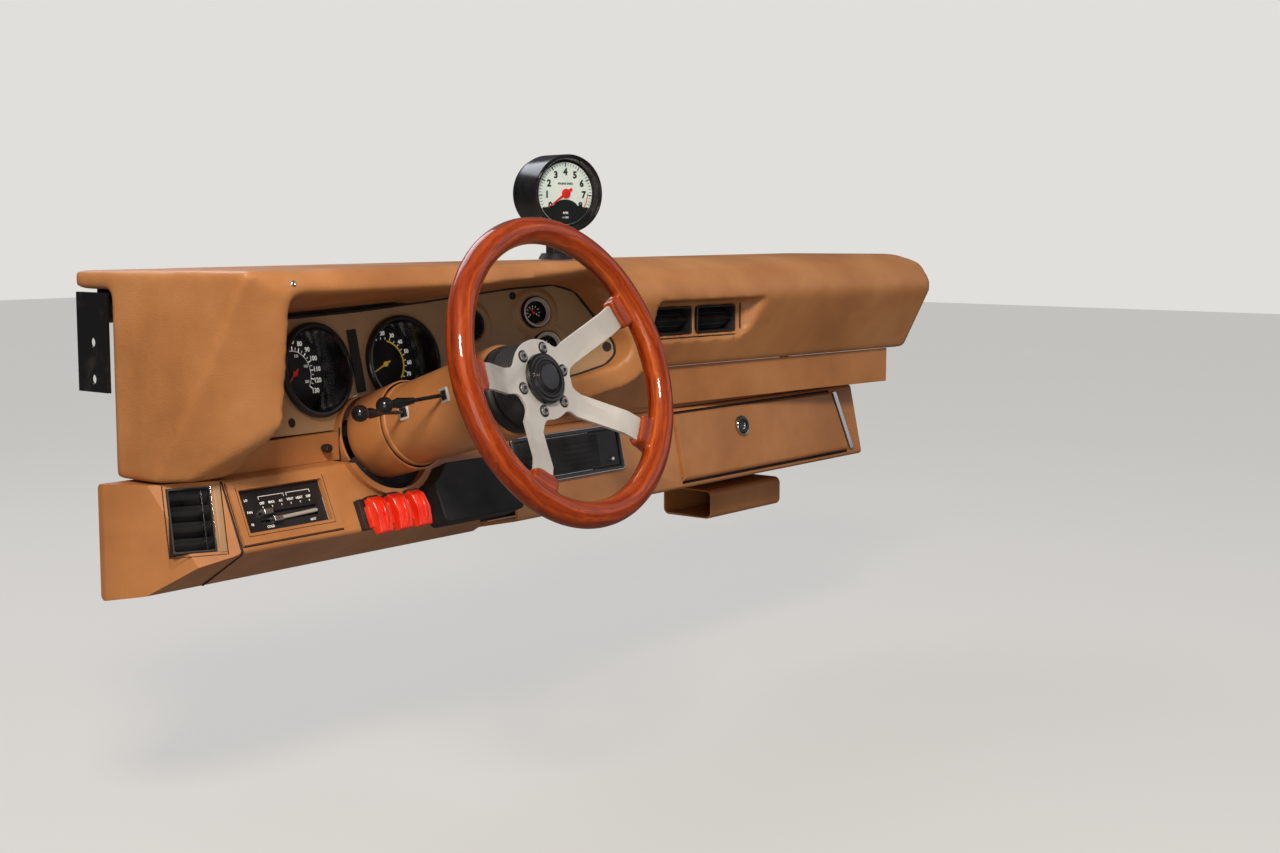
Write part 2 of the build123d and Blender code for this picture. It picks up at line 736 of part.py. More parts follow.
# Light switch strip under the left of the gauge plate
with BuildPart() as lower_strip:
    with BuildSketch(Plane.XZ.offset(-STRIP_Y)):
        with Locations((STRIP_LEFT, STRIP_FOOT)):
            Rectangle(STRIP_RIGHT - STRIP_LEFT, STRIP_TOP - STRIP_FOOT, align=(Align.MIN, Align.MIN))
        with Locations((KNOB_X, (STRIP_TOP + STRIP_FOOT) / 2)):
            Circle(KNOB_STEM + SEAT, mode=Mode.SUBTRACT)
    extrude(amount=-STRIP_THICK)
    with BuildSketch(station(0)):
        Circle(COLLAR_RADIUS + COLLAR_FIT)
    extrude(amount=-FAR, mode=Mode.SUBTRACT)
finish(lower_strip, "lower_strip")

with BuildPart() as light_knob:
    knob_centre = (KNOB_X, STRIP_Y, (STRIP_TOP + STRIP_FOOT) / 2)
    with BuildSketch(Plane(origin=knob_centre, x_dir=(1, 0, 0), z_dir=(0, 0, 1))):
        with BuildLine():
            Polyline(
                (0, -KNOB_PROUD),
                (KNOB_RADIUS - KNOB_BEVEL, -KNOB_PROUD),
                (KNOB_RADIUS, KNOB_BEVEL - KNOB_PROUD),
                (KNOB_RADIUS - KNOB_BEVEL, -SEAT),
                (KNOB_STEM, -SEAT),
                (KNOB_STEM, STRIP_THICK + KNOB_TAIL),
                (0, STRIP_THICK + KNOB_TAIL),
                close=True,
            )
        make_face()
    revolve(axis=Axis(knob_centre, (0, 1, 0)))
finish(light_knob, "light_knob")

# Collar that closes the gap between the jacket and the bay in the gauge plate
with BuildPart() as column_collar:
    corners = (
        (COLLAR_START, COLLAR_RADIUS - COLLAR_WALL),
        (COLLAR_START, COLLAR_RADIUS),
        (COLLAR_END, COLLAR_RADIUS),
        (COLLAR_END, JACKET_RADIUS + SEAT),
        (COLLAR_END - COLLAR_WALL, JACKET_RADIUS + SEAT),
        (COLLAR_END - COLLAR_WALL, COLLAR_RADIUS - COLLAR_WALL),
    )
    revolve(half_section(*corners), axis=COLUMN_AXIS)
finish(column_collar, "column_collar")

# Lower panel left of the tunnel, a bent sheet with its openings
LOWER_PATH = (
    (LOWER_FACE_TOP_Y + PANEL_FLANGE, LOWER_FACE_TOP_Z),
    (LOWER_FACE_TOP_Y, LOWER_FACE_TOP_Z),
    (LOWER_FACE_FOOT_Y, LOWER_FACE_FOOT_Z),
    (LOWER_TAIL_Y, LOWER_TAIL_Z),
)
CONTROL_FOOT = CONTROL_TOP - CONTROL_HEIGHT
with BuildPart() as saddle:
    # Rim round the cut-out under the column, as proud as the face behind it is thick
    with BuildSketch(station(SADDLE_START)):
        Circle(SADDLE_RADIUS + SADDLE_RIM)
    extrude(amount=SADDLE_LENGTH)
    split(bisect_by=LOWER_FACE.offset(-PANEL_THICK), keep=Keep.TOP)
    split(bisect_by=LOWER_FACE.offset(SADDLE_PROUD), keep=Keep.BOTTOM)
with BuildPart() as lower_panel:
    bent_sheet(LOWER_LEFT, SEAM_X, LOWER_PATH, PANEL_THICK)
    frame_across = CONTROL_WIDTH + 2 * FRAME_BORDER
    frame_foot = CONTROL_FOOT - FRAME_BORDER
    frame_height = -PANEL_FOLD / 2 - frame_foot
    box_on(LOWER_FACE, CONTROL_LEFT - FRAME_BORDER, frame_foot, frame_across, frame_height,
           -FRAME_ROOT, FRAME_PROUD)
    box_on(LOWER_FACE, CONTROL_LEFT, CONTROL_FOOT, CONTROL_WIDTH, CONTROL_HEIGHT,
           -CONTROL_DEPTH, CONTROL_DEPTH, Mode.SUBTRACT)
    add(saddle.part)
    split(bisect_by=Plane.XY.offset(LOWER_FACE_TOP_Z), keep=Keep.BOTTOM)
    with BuildSketch(station(0)):
        Circle(SADDLE_RADIUS)
    extrude(amount=-FAR, mode=Mode.SUBTRACT)
finish(lower_panel, "lower_panel")

# Heater control: a face with two slots, set in its frame
with BuildPart() as climate_control:
    box_on(LOWER_FACE, CONTROL_LEFT + SEAT, CONTROL_FOOT + SEAT, CONTROL_WIDTH - 2 * SEAT,
           CONTROL_HEIGHT - 2 * SEAT, -CONTROL_DEPTH, -CONTROL_SUNK)
    with BuildSketch(LOWER_FACE.offset(-CONTROL_SUNK)):
        for slider_up, slider_across in SLIDERS:
            with Locations((CONTROL_LEFT + SLIDER_MIDDLE, CONTROL_FOOT + slider_up)):
                SlotOverall(SLIDER_LENGTH, SLIDER_SLOT)
    extrude(amount=-CONTROL_SUNK, mode=Mode.SUBTRACT)
    with BuildSketch(LOWER_FACE.offset(-2 * CONTROL_SUNK)):
        for slider_up, slider_across in SLIDERS:
            with Locations((CONTROL_LEFT + slider_across, CONTROL_FOOT + slider_up)):
                Rectangle(*SLIDER_KNOB)
    extrude(amount=2 * CONTROL_SUNK + SLIDER_PROUD)
finish(climate_control, "climate_control")


def clear_saddle_rim():
    """Cut the relief over the rim of the saddle."""
    with BuildSketch(station(0)) as relief:
        Circle(SADDLE_RADIUS + SADDLE_RIM + SEAT)
    extrude(relief.sketch, amount=-2 * SHROUD_END, mode=Mode.SUBTRACT)

# Switch base with three guarded toggles under hinged red covers
with BuildPart() as switch_base:
    box_on(LOWER_FACE, SWITCH_LEFT, SWITCH_TOP - SWITCH_HEIGHT, SWITCH_WIDTH, SWITCH_HEIGHT,
           SEAT, SWITCH_THICK)
    clear_saddle_rim()
finish(switch_base, "switch_base")

with BuildPart() as switch_covers:
    for number in range(COVER_COUNT):
        middle = SWITCH_LEFT + SWITCH_WIDTH / 2 + (number - (COVER_COUNT - 1) / 2) * COVER_PITCH
        cover_side = Plane(origin=LOWER_FACE.from_local_coords((middle, SWITCH_TOP, SWITCH_THICK)),
                           x_dir=-LOWER_FACE.y_dir, z_dir=(-1, 0, 0))
        with BuildSketch(cover_side):
            with BuildLine():
                side = [(COVER_LENGTH * along, COVER_RISE * rise) for along, rise in COVER_SIDE]
                Polyline(*side, close=True)
            make_face()
        extrude(amount=COVER_WIDTH / 2, both=True)
finish(switch_covers, "switch_covers")

# Black add-on box under the column
with BuildPart() as control_box:
    box_on(LOWER_FACE, BOX_LEFT, BOX_TOP - BOX_HEIGHT, BOX_WIDTH, BOX_HEIGHT, SEAT, BOX_PROUD)
    fillet(control_box.edges().filter_by(Axis(LOWER_FACE.origin, LOWER_FACE.z_dir)), BOX_RADIUS)
    clear_saddle_rim()
finish(control_box, "control_box")

# End piece at the door: its face turns away from the driver, with a vent let into it
SWING = math.radians(END_TURN)
END_ORIGIN = (LOWER_LEFT, LOWER_FACE_TOP_Y, LOWER_FACE_TOP_Z)
END_ALONG = Vector(-math.cos(SWING), math.sin(SWING), 0)
# X to the left along the face, Y down it and Z out of it
END_FACE = Plane(origin=END_ORIGIN, x_dir=END_ALONG, z_dir=-END_ALONG.cross(LOWER_FACE.y_dir))
with BuildPart() as end_piece:
    with BuildSketch(Plane.YZ.offset(LOWER_LEFT - END_GAP)):
        with BuildLine():
            FilletPolyline(
                *LOWER_PATH[1:],
                (END_FRONT, LOWER_TAIL_Z - END_DROP),
                (END_FRONT, LOWER_FACE_TOP_Z),
                radius=PANEL_FOLD,
                close=True,
            )
        make_face()
    extrude(amount=END_CAP_LEFT - LOWER_LEFT)
    split(bisect_by=END_FACE, keep=Keep.BOTTOM)
    side_origin = (END_LEFT, LOWER_FACE_TOP_Y + END_SIDE_FORWARD, 0)
    split(bisect_by=Plane(origin=side_origin, z_dir=END_SIDE_OUT), keep=Keep.TOP)
    box_on(END_FACE, VENT_LEFT, VENT_DOWN, VENT_WIDTH, VENT_HEIGHT, -VENT_DEPTH, VENT_DEPTH, Mode.SUBTRACT)
finish(end_piece, "end_piece")

with BuildPart() as end_vent:
    vent_back = SEAT - VENT_DEPTH
    box_on(END_FACE, VENT_LEFT + SEAT, VENT_DOWN + SEAT, VENT_WIDTH - 2 * SEAT, VENT_HEIGHT - 2 * SEAT,
           vent_back, VENT_PROUD)
    box_on(END_FACE, VENT_LEFT + VENT_BORDER, VENT_DOWN + VENT_BORDER, VENT_WIDTH - 2 * VENT_BORDER,
           VENT_HEIGHT - 2 * VENT_BORDER, vent_back + VENT_BORDER, VENT_DEPTH, Mode.SUBTRACT)
    with BuildSketch(END_FACE.offset(-VENT_SLAT_SUNK)):
        with Locations((VENT_LEFT + VENT_WIDTH / 2, VENT_DOWN + VENT_HEIGHT / 2)):
            with GridLocations(0, (VENT_HEIGHT - 2 * VENT_BORDER) / VENT_SLATS, 1, VENT_SLATS):
                Rectangle(VENT_WIDTH - VENT_BORDER, SLAT_THICK)
            Rectangle(SLAT_THICK, VENT_HEIGHT - VENT_BORDER)
    extrude(amount=-VENT_SLAT_DEEP)
finish(end_vent, "end_vent")

# Right side: glove box face with the openings of the radio and the door, and the door's hinge pins
HINGE_UP = DOOR_FOOT + DOOR_THICK / 2
HINGE_LEVEL = DOOR_PROUD - DOOR_THICK / 2
GLOVE_PATH = (
    (GLOVE_TOP_Y + PANEL_FLANGE, GLOVE_TOP_Z),
    (GLOVE_TOP_Y, GLOVE_TOP_Z),
    (GLOVE_FOOT_Y, GLOVE_FOOT_Z),
    (GLOVE_TAIL_Y, GLOVE_TAIL_Z),
)
DOOR_FOOT_RIGHT = DOOR_RIGHT + DOOR_SLANT


def hinge_side(x):
    """Plane square to the glove door's hinge: X up the face, Y out of it."""
    origin = GLOVE_FACE.from_local_coords((x, HINGE_UP, HINGE_LEVEL))
    return Plane(origin=origin, x_dir=GLOVE_FACE.y_dir, z_dir=(1, 0, 0))


def door_outline(grow):
    """Outline of the glove door, grown all round, on a plane in front of its face."""
    with BuildSketch(GLOVE_FACE.offset(DOOR_THICK)) as outline:
        Polygon(
            (DOOR_LEFT, DOOR_FOOT),
            (DOOR_FOOT_RIGHT, DOOR_FOOT),
            (DOOR_RIGHT, DOOR_TOP),
            (DOOR_LEFT, DOOR_TOP),
            align=None,
        )
        if grow:
            offset(amount=grow, kind=Kind.INTERSECTION)
    return outline.sketch


RADIO_LEFT = RADIO_CENTRE - RADIO_WIDTH / 2
RADIO_FOOT = RADIO_UP - RADIO_HEIGHT / 2
with BuildPart() as glove_panel:
    bent_sheet(SEAM_X + SEAM_GAP, GLOVE_RIGHT, GLOVE_PATH, PANEL_THICK)
    extrude(door_outline(DOOR_GAP), amount=-2 * DOOR_THICK, mode=Mode.SUBTRACT)
    box_on(GLOVE_FACE, RADIO_LEFT, RADIO_FOOT, RADIO_WIDTH, RADIO_HEIGHT,
           -DOOR_THICK, DOOR_THICK, Mode.SUBTRACT)
    # An ear behind the face at each end of the door, with the pin that stands in the door's bore
    pin_length = DOOR_GAP + HINGE_DEPTH
    for ear, pin in (
        (DOOR_LEFT - DOOR_GAP - EAR_THICK, DOOR_LEFT - DOOR_GAP - PIN_ROOT),
        (DOOR_FOOT_RIGHT + DOOR_GAP, DOOR_FOOT_RIGHT + DOOR_GAP + PIN_ROOT - pin_length),
    ):
        box_on(GLOVE_FACE, ear, HINGE_UP - EAR_TALL / 2, EAR_THICK, EAR_TALL,
               HINGE_LEVEL - EAR_TALL / 2, -PIN_ROOT)
        with BuildSketch(hinge_side(pin)):
            Circle(HINGE_RADIUS)
        extrude(amount=pin_length)
finish(glove_panel, "glove_panel")

with BuildPart() as radio:
    box_on(GLOVE_FACE, RADIO_LEFT + SEAT, RADIO_FOOT + SEAT, RADIO_WIDTH - 2 * SEAT, RADIO_HEIGHT - 2 * SEAT,
           -RADIO_DEPTH, RADIO_PROUD)
finish(radio, "radio")

with BuildPart() as radio_frame:
    with BuildSketch(GLOVE_FACE.offset(SEAT)):
        with Locations((RADIO_CENTRE, RADIO_UP)):
            RectangleRounded(RADIO_WIDTH + 2 * RADIO_BORDER, RADIO_HEIGHT + 2 * RADIO_BORDER, RADIO_CORNER)
            Rectangle(RADIO_WIDTH + 2 * SEAT, RADIO_HEIGHT + 2 * SEAT, mode=Mode.SUBTRACT)
    extrude(amount=RADIO_FRAME_PROUD)
finish(radio_frame, "radio_frame")

# Glove box: a fixed bin behind the face, and a door whose round foot turns about the pins
with BuildPart() as glove_bin:
    bin_left = DOOR_LEFT - BIN_SIDE
    bin_width = DOOR_FOOT_RIGHT - DOOR_LEFT + 2 * BIN_SIDE
    bin_foot = DOOR_FOOT - BIN_BELOW
    bin_height = DOOR_TOP + BIN_ABOVE - bin_foot
    box_on(GLOVE_FACE, bin_left, bin_foot, bin_width, bin_height, -BIN_DEPTH, -PANEL_THICK - SEAT)
    box_on(GLOVE_FACE, bin_left + BIN_WALL, bin_foot + BIN_WALL, bin_width - 2 * BIN_WALL,
           bin_height - 2 * BIN_WALL, BIN_WALL - BIN_DEPTH, 0, Mode.SUBTRACT)
    # The floor stops short of the door's round foot
    box_on(GLOVE_FACE, bin_left, bin_foot, bin_width, BIN_WALL, HINGE_LEVEL - DOOR_THICK / 2 - DOOR_GAP, 0,
           Mode.SUBTRACT)
finish(glove_bin, "glove_bin")

with BuildPart() as glove_door:
    half = DOOR_THICK / 2
    height = DOOR_TOP - HINGE_UP
    with BuildSketch(hinge_side(DOOR_LEFT)):
        with BuildLine():
            ThreePointArc((0, -half), (-half, 0), (0, half))
            Polyline(
                (0, half), (height - DOOR_EDGE, half), (height, half - DOOR_EDGE), (height, -half), (0, -half)
            )
        make_face()
    extrude(amount=DOOR_FOOT_RIGHT - DOOR_LEFT)
    extrude(door_outline(0), amount=-2 * DOOR_THICK, mode=Mode.INTERSECT)
    for end in (DOOR_LEFT, DOOR_FOOT_RIGHT - HINGE_DEPTH):
        with BuildSketch(hinge_side(end)):
            Circle(HINGE_RADIUS + HINGE_FIT)
        extrude(amount=HINGE_DEPTH, mode=Mode.SUBTRACT)
finish(glove_door, "glove_door")

with BuildPart() as glove_lock:
    with BuildSketch(GLOVE_FACE.offset(DOOR_PROUD + SEAT)):
        with Locations((LOCK_X, LOCK_UP)):
            Circle(LOCK_RADIUS)
    extrude(amount=LOCK_PROUD)
    outward = Axis(GLOVE_FACE.origin, GLOVE_FACE.z_dir)
    fillet(glove_lock.edges().filter_by(GeomType.CIRCLE).sort_by(outward)[-1], LOCK_ROLL)
finish(glove_lock, "glove_lock")

# Bright strip beside the door, along its slanted end
with BuildPart() as end_strip:
    strip_off = DOOR_GAP + END_STRIP_OFF
    with BuildSketch(GLOVE_FACE.offset(SEAT)):
        Polygon(
            (DOOR_FOOT_RIGHT + strip_off, DOOR_FOOT),
            (DOOR_FOOT_RIGHT + strip_off + END_STRIP_WIDTH, DOOR_FOOT),
            (DOOR_RIGHT + strip_off + END_STRIP_WIDTH, DOOR_TOP),
            (DOOR_RIGHT + strip_off, DOOR_TOP),
            align=None,
        )
    extrude(amount=END_STRIP_PROUD - SEAT)
finish(end_strip, "end_strip")

# Band under the pad's foot, with a ledge at its own foot that rests on the glove box's flange
with BuildPart() as fascia_strip:
    band_end = (PAD_RIGHT - FASCIA_SHORT, FASCIA_Y - FASCIA_SWEEP)
    run = ((FASCIA_LEFT, FASCIA_Y), (LIP_RIGHT, FASCIA_Y), band_end)
    with BuildSketch(Plane.XY.offset(FASCIA_FOOT)):
        Polygon(*run, *((x, y + FASCIA_THICK) for x, y in reversed(run)), align=None)
    extrude(amount=FACE_FOOT_Z - SEAT - FASCIA_FOOT)
    with BuildSketch(Plane.XY.offset(FASCIA_FOOT)):
        Polygon(*run, (run[2][0], FASCIA_FRONT), (run[0][0], FASCIA_FRONT), align=None)
    extrude(amount=FASCIA_THICK)
    with BuildSketch(Plane.XY.offset(GLOVE_TOP_Z + SEAT)):
        with Locations((FASCIA_LEFT, GLOVE_TOP_Y + 2 * FASCIA_THICK)):
            Rectangle(GLOVE_RIGHT - FASCIA_LEFT, FASCIA_THICK, align=(Align.MIN, Align.MIN))
    extrude(amount=FASCIA_FOOT + FASCIA_THICK / 2 - GLOVE_TOP_Z - SEAT)
    # Left of the passenger's pad the band stops under the lip
    add(lip_body(SEAT), mode=Mode.SUBTRACT)
finish(fascia_strip, "fascia_strip")

# Cold air duct under the glove box, open at its left end
with BuildPart() as floor_duct:
    with BuildSketch(Plane.YZ.offset(DUCT_LEFT)):
        with Locations((DUCT_REAR, DUCT_FOOT)):
            RectangleRounded(DUCT_DEEP, DUCT_TALL, DUCT_CORNER, align=(Align.MIN, Align.MIN))
    extrude(amount=DUCT_RIGHT - DUCT_LEFT)
    with BuildSketch(Plane.YZ.offset(DUCT_LEFT)):
        with Locations((DUCT_REAR + DUCT_DEEP / 2, DUCT_FOOT + DUCT_TALL / 2)):
            RectangleRounded(DUCT_DEEP - 2 * DUCT_WALL, DUCT_TALL - 2 * DUCT_WALL, DUCT_CORNER - DUCT_WALL)
    extrude(amount=DUCT_RIGHT - DUCT_LEFT - DUCT_WALL, mode=Mode.SUBTRACT)
finish(floor_duct, "floor_duct")

# Centre vents
for number, centre in enumerate(LOUVRE_CENTRES):
    with BuildPart() as louvre:
        with BuildSketch(VENT_FACE.offset(LOUVRE_PROUD)):
            with Locations((centre, LOUVRE_UP)):
                Rectangle(LOUVRE_WIDTH + 2 * LOUVRE_BORDER, LOUVRE_HEIGHT + 2 * LOUVRE_BORDER)
                Rectangle(LOUVRE_WIDTH, LOUVRE_HEIGHT, mode=Mode.SUBTRACT)
        extrude(amount=-LOUVRE_DEPTH)
        with BuildSketch(VENT_FACE.offset(LOUVRE_PROUD - SLAT_SUNK)):
            with Locations((centre, LOUVRE_UP)):
                with GridLocations(0, LOUVRE_HEIGHT / LOUVRE_SLATS, 1, LOUVRE_SLATS):
                    Rectangle(LOUVRE_WIDTH + LOUVRE_BORDER, SLAT_THICK)
        extrude(amount=-SLAT_DEEP)
    finish(louvre, f"centre_vent_{('left', 'right')[number]}")

# Steel behind the pad in one weldment
with BuildPart() as cross_beam:
    with BuildSketch(Plane.XZ.offset(RAIL_THICK)):
        with Locations((RAIL_LEFT, RAIL_FOOT)):
            Rectangle(RAIL_RIGHT - RAIL_LEFT, RAIL_TOP - RAIL_FOOT, align=(Align.MIN, Align.MIN))
        with GridLocations(RAIL_PITCH, 0, RAIL_BOLTS, 1):
            Circle(RAIL_BOLT_RADIUS, mode=Mode.SUBTRACT)
    extrude(amount=-RAIL_THICK)
    with BuildSketch(Plane.YZ.offset(BEAM_LEFT)):
        with Locations((BEAM_Y, BEAM_Z)):
            Circle(BEAM_RADIUS)
            Circle(BEAM_RADIUS - BEAM_WALL, mode=Mode.SUBTRACT)
    extrude(amount=BEAM_RIGHT - BEAM_LEFT)
    for side, step in ((BEAM_LEFT, -END_PLATE_THICK), (BEAM_RIGHT, END_PLATE_THICK)):
        with BuildSketch(Plane.YZ.offset(side)):
            with Locations((BEAM_Y, END_PLATE_Z)):
                Rectangle(END_PLATE_WIDE, END_PLATE_TALL)
            with Locations((BEAM_Y, END_BOLT_Z)), GridLocations(0, END_BOLT_PITCH, 1, 2):
                Circle(END_BOLT_RADIUS, mode=Mode.SUBTRACT)
        extrude(amount=step)
    for place in (-POST_SPACING, 0, POST_SPACING):
        with BuildSketch(Plane.YZ.offset(place - POST_WIDTH / 2)):
            post_front = POST_ROOT - RAIL_THICK
            post_rear = BEAM_Y + BEAM_RADIUS - BEAM_WALL
            with Locations((post_front, BEAM_Z)):
                Rectangle(post_front - post_rear, POST_TALL, align=(Align.MAX, Align.CENTER))
        extrude(amount=POST_WIDTH)
finish(cross_beam, "cross_beam")

# Hanger of the column: a plate under the beam, with a ring round the beam and one round the jacket
with BuildPart() as column_bracket:
    ring_depth = WHEEL_CENTRE + FORWARD * BRACKET_STATION
    with BuildSketch(Plane.XZ.offset(-BEAM_Y - BRACKET_THICK / 2)):
        with BuildLine():
            Polyline(
                (WHEEL_X - BRACKET_TOP / 2, BEAM_Z),
                (WHEEL_X + BRACKET_TOP / 2, BEAM_Z),
                (WHEEL_X + JACKET_RADIUS + BRACKET_RING, ring_depth.Z),
                (WHEEL_X - JACKET_RADIUS - BRACKET_RING, ring_depth.Z),
                close=True,
            )
        make_face()
    extrude(amount=BRACKET_THICK)
    with BuildSketch(Plane.YZ.offset(WHEEL_X - BRACKET_TOP / 2)):
        with Locations((BEAM_Y, BEAM_Z)):
            Circle(BEAM_RADIUS + BRACKET_RING)
    extrude(amount=BRACKET_TOP)
    with BuildSketch(station(BRACKET_STATION + BRACKET_LENGTH / 2)):
        Circle(JACKET_RADIUS + BRACKET_RING)
    extrude(amount=BRACKET_LENGTH)
    with BuildSketch(Plane.YZ.offset(WHEEL_X - BRACKET_TOP)):
        with Locations((BEAM_Y, BEAM_Z)):
            Circle(BEAM_RADIUS + SEAT)
    extrude(amount=2 * BRACKET_TOP, mode=Mode.SUBTRACT)
    with BuildSketch(station(JACKET_END)):
        Circle(JACKET_RADIUS + SEAT)
    extrude(amount=JACKET_END - JACKET_START, mode=Mode.SUBTRACT)
finish(column_bracket, "column_bracket")

# Straps from the beam down to the flanges on top of the lower panels
with BuildPart() as panel_braces:
    strap_y = BEAM_Y - BEAM_RADIUS - SEAT
    for place, panel_top, panel_y in BRACES:
        foot = panel_top - PANEL_THICK - SEAT
        reach = panel_y + 2 * PANEL_THICK
        with BuildSketch(Plane.YZ.offset(place - BRACE_WIDTH / 2)):
            with BuildLine():
                Polyline(
                    (strap_y, BEAM_Z + BRACE_GRIP),
                    (strap_y, foot - BRACE_THICK),
                    (reach, foot - BRACE_THICK),
                    (reach, foot),
                    (strap_y - BRACE_THICK, foot),
                    (strap_y - BRACE_THICK, BEAM_Z + BRACE_GRIP),
                    close=True,
                )
            make_face()
        extrude(amount=BRACE_WIDTH)
finish(panel_braces, "panel_braces")

# Column: jacket with a bearing at its foot and the flange that bolts to the floor
with BuildPart() as column_jacket:
    corners = (
        (JACKET_START, JACKET_RADIUS - JACKET_WALL),
        (JACKET_START, JACKET_RADIUS),
        (FLANGE_START, JACKET_RADIUS),
        (FLANGE_START, FLANGE_RADIUS),
        (FLANGE_START + FLANGE_THICK, FLANGE_RADIUS),
        (FLANGE_START + FLANGE_THICK, JACKET_RADIUS),
        (JACKET_END, JACKET_RADIUS),
        (JACKET_END, SHAFT_RADIUS + SHAFT_FIT),
        (JACKET_END - BEARING_WIDTH, SHAFT_RADIUS + SHAFT_FIT),
        (JACKET_END - BEARING_WIDTH, JACKET_RADIUS - JACKET_WALL),
    )
    revolve(half_section(*corners), axis=COLUMN_AXIS)
    with BuildSketch(station(FLANGE_START)):
        with PolarLocations(FLANGE_CIRCLE / 2, FLANGE_BOLTS, start_angle=45):
            Circle(FLANGE_BOLT_RADIUS)
    extrude(amount=-FLANGE_THICK, mode=Mode.SUBTRACT)
finish(column_jacket, "column_jacket")

PIN_PLANE = Plane(origin=COLUMN_SIDE.from_local_coords((TILT_STATION, 0)), x_dir=FORWARD, z_dir=(1, 0, 0))
with BuildPart() as column_shroud:
    corners = (
        (SHROUD_START, SHROUD_RADIUS - SHROUD_WALL),
        (SHROUD_START, SHROUD_RADIUS),
        (SHROUD_END, SHROUD_RADIUS - SHROUD_TAPER),
        (SHROUD_END, JACKET_RADIUS + SEAT),
        (SHROUD_END - SHROUD_WALL, JACKET_RADIUS + SEAT),
        (SHROUD_END - SHROUD_WALL, SHROUD_RADIUS - SHROUD_TAPER - SHROUD_WALL),
    )
    revolve(half_section(*corners), axis=COLUMN_AXIS)
    for side in (-1, 1):
        with BuildSketch(PIN_PLANE.offset(side * (NECK_RADIUS - PIN_DEPTH))):
            Circle(PIN_RADIUS)
        extrude(amount=side * (SHROUD_RADIUS - PIN_STEP - NECK_RADIUS + PIN_DEPTH))
finish(column_shroud, "column_shroud")

# Tilting head: a tapered shell that ends in a dome inside the shroud
with BuildPart() as column_head:
    with BuildSketch(COLUMN_SIDE):
        with BuildLine():
            dome = math.radians(DOME_END)
            bore = SHAFT_RADIUS + SHAFT_FIT
            end_station = TILT_STATION + NECK_RADIUS * math.cos(dome)
            end_radius = NECK_RADIUS * math.sin(dome)
            Line((TILT_STATION, NECK_RADIUS), (HEAD_START, HEAD_RADIUS))
            Line((HEAD_START, HEAD_RADIUS), (HEAD_START, bore))
            Line((HEAD_START, bore), (TILT_STATION - DOME_BORE, bore))
            Line((TILT_STATION - DOME_BORE, bore), (end_station, end_radius - DOME_WALL))
            Line((end_station, end_radius - DOME_WALL), (end_station, end_radius))
            CenterArc((TILT_STATION, 0), NECK_RADIUS, DOME_END, 90 - DOME_END)
        make_face()
    revolve(axis=COLUMN_AXIS)
    for side in (-1, 1):
        with BuildSketch(PIN_PLANE.offset(side * SHROUD_RADIUS)):
            Circle(PIN_RADIUS + PIN_FIT)
        extrude(amount=-side * (SHROUD_RADIUS - NECK_RADIUS + PIN_DEPTH + PIN_STEP), mode=Mode.SUBTRACT)
finish(column_head, "column_head")

with BuildPart() as cover_disc:
    corners = (
        (COVER_START, SHAFT_RADIUS + SHAFT_FIT),
        (COVER_START, COVER_RADIUS - COVER_BEVEL[1]),
        (COVER_START + COVER_BEVEL[0], COVER_RADIUS),
        (COVER_END, COVER_RADIUS),
        (COVER_END, SHAFT_RADIUS + SHAFT_FIT),
    )
    revolve(half_section(*corners), axis=COLUMN_AXIS)
finish(cover_disc, "cover_disc")


def lever(base, tip, knob):
    """Lever from the head's left side: a straight stem and a ball, from (across, up, station)."""
    start = WHEEL_PLANE.from_local_coords((base[0], base[1], -base[2]))
    end = WHEEL_PLANE.from_local_coords((tip[0], tip[1], -tip[2]))
    length = (end - start).length
    neck = math.sqrt(knob**2 - LEVER_RADIUS**2)
    with BuildPart() as stick:
        side = (end - start).cross(Vector(0, 0, 1))
        with BuildSketch(Plane(origin=start, x_dir=end - start, z_dir=side)):
            with BuildLine():
                Polyline((length + knob, 0), (0, 0), (0, LEVER_RADIUS), (length - neck, LEVER_RADIUS))
                ThreePointArc((length - neck, LEVER_RADIUS), (length, knob), (length + knob, 0))
            make_face()
        revolve(axis=Axis(start, end - start))
    return stick


HEAD_SLOPE = (NECK_RADIUS - HEAD_RADIUS) / (TILT_STATION - HEAD_START)
for name, base_up, base_station, tip in LEVERS:
    head_radius = HEAD_RADIUS + HEAD_SLOPE * (base_station - HEAD_START)
    base_across = -math.sqrt(head_radius**2 - base_up**2) - LEVER_OFF
    finish(lever((base_across, base_up, base_station), tip, LEVER_KNOB), name)

# Shafts: the upper turns in the head, the lower in the jacket
with BuildPart() as steering_shaft:
    with BuildSketch(station(TILT_STATION - SHAFT_SHORT)):
        Circle(SHAFT_RADIUS)
    extrude(amount=TILT_STATION - SHAFT_SHORT - DISH - SPOKE_THICK - SEAT)
finish(steering_shaft, "steering_shaft")
with BuildPart() as lower_shaft:
    corners = (
        (TILT_STATION + 2 * SHAFT_SHORT, 0),
        (TILT_STATION + 2 * SHAFT_SHORT, SHAFT_RADIUS),
        (SPLINE_START, SHAFT_RADIUS),
        (SPLINE_START, SPLINE_RADIUS - PIN_STEP),
        (SPLINE_START + SPLINE_RUNOUT, SPLINE_RADIUS - PIN_STEP),
        (SPLINE_START + SPLINE_RUNOUT, SPLINE_RADIUS),
        (SHAFT_END, SPLINE_RADIUS),
        (SHAFT_END, 0),
    )
    revolve(half_section(*corners), axis=COLUMN_AXIS)
finish(lower_shaft, "lower_shaft")

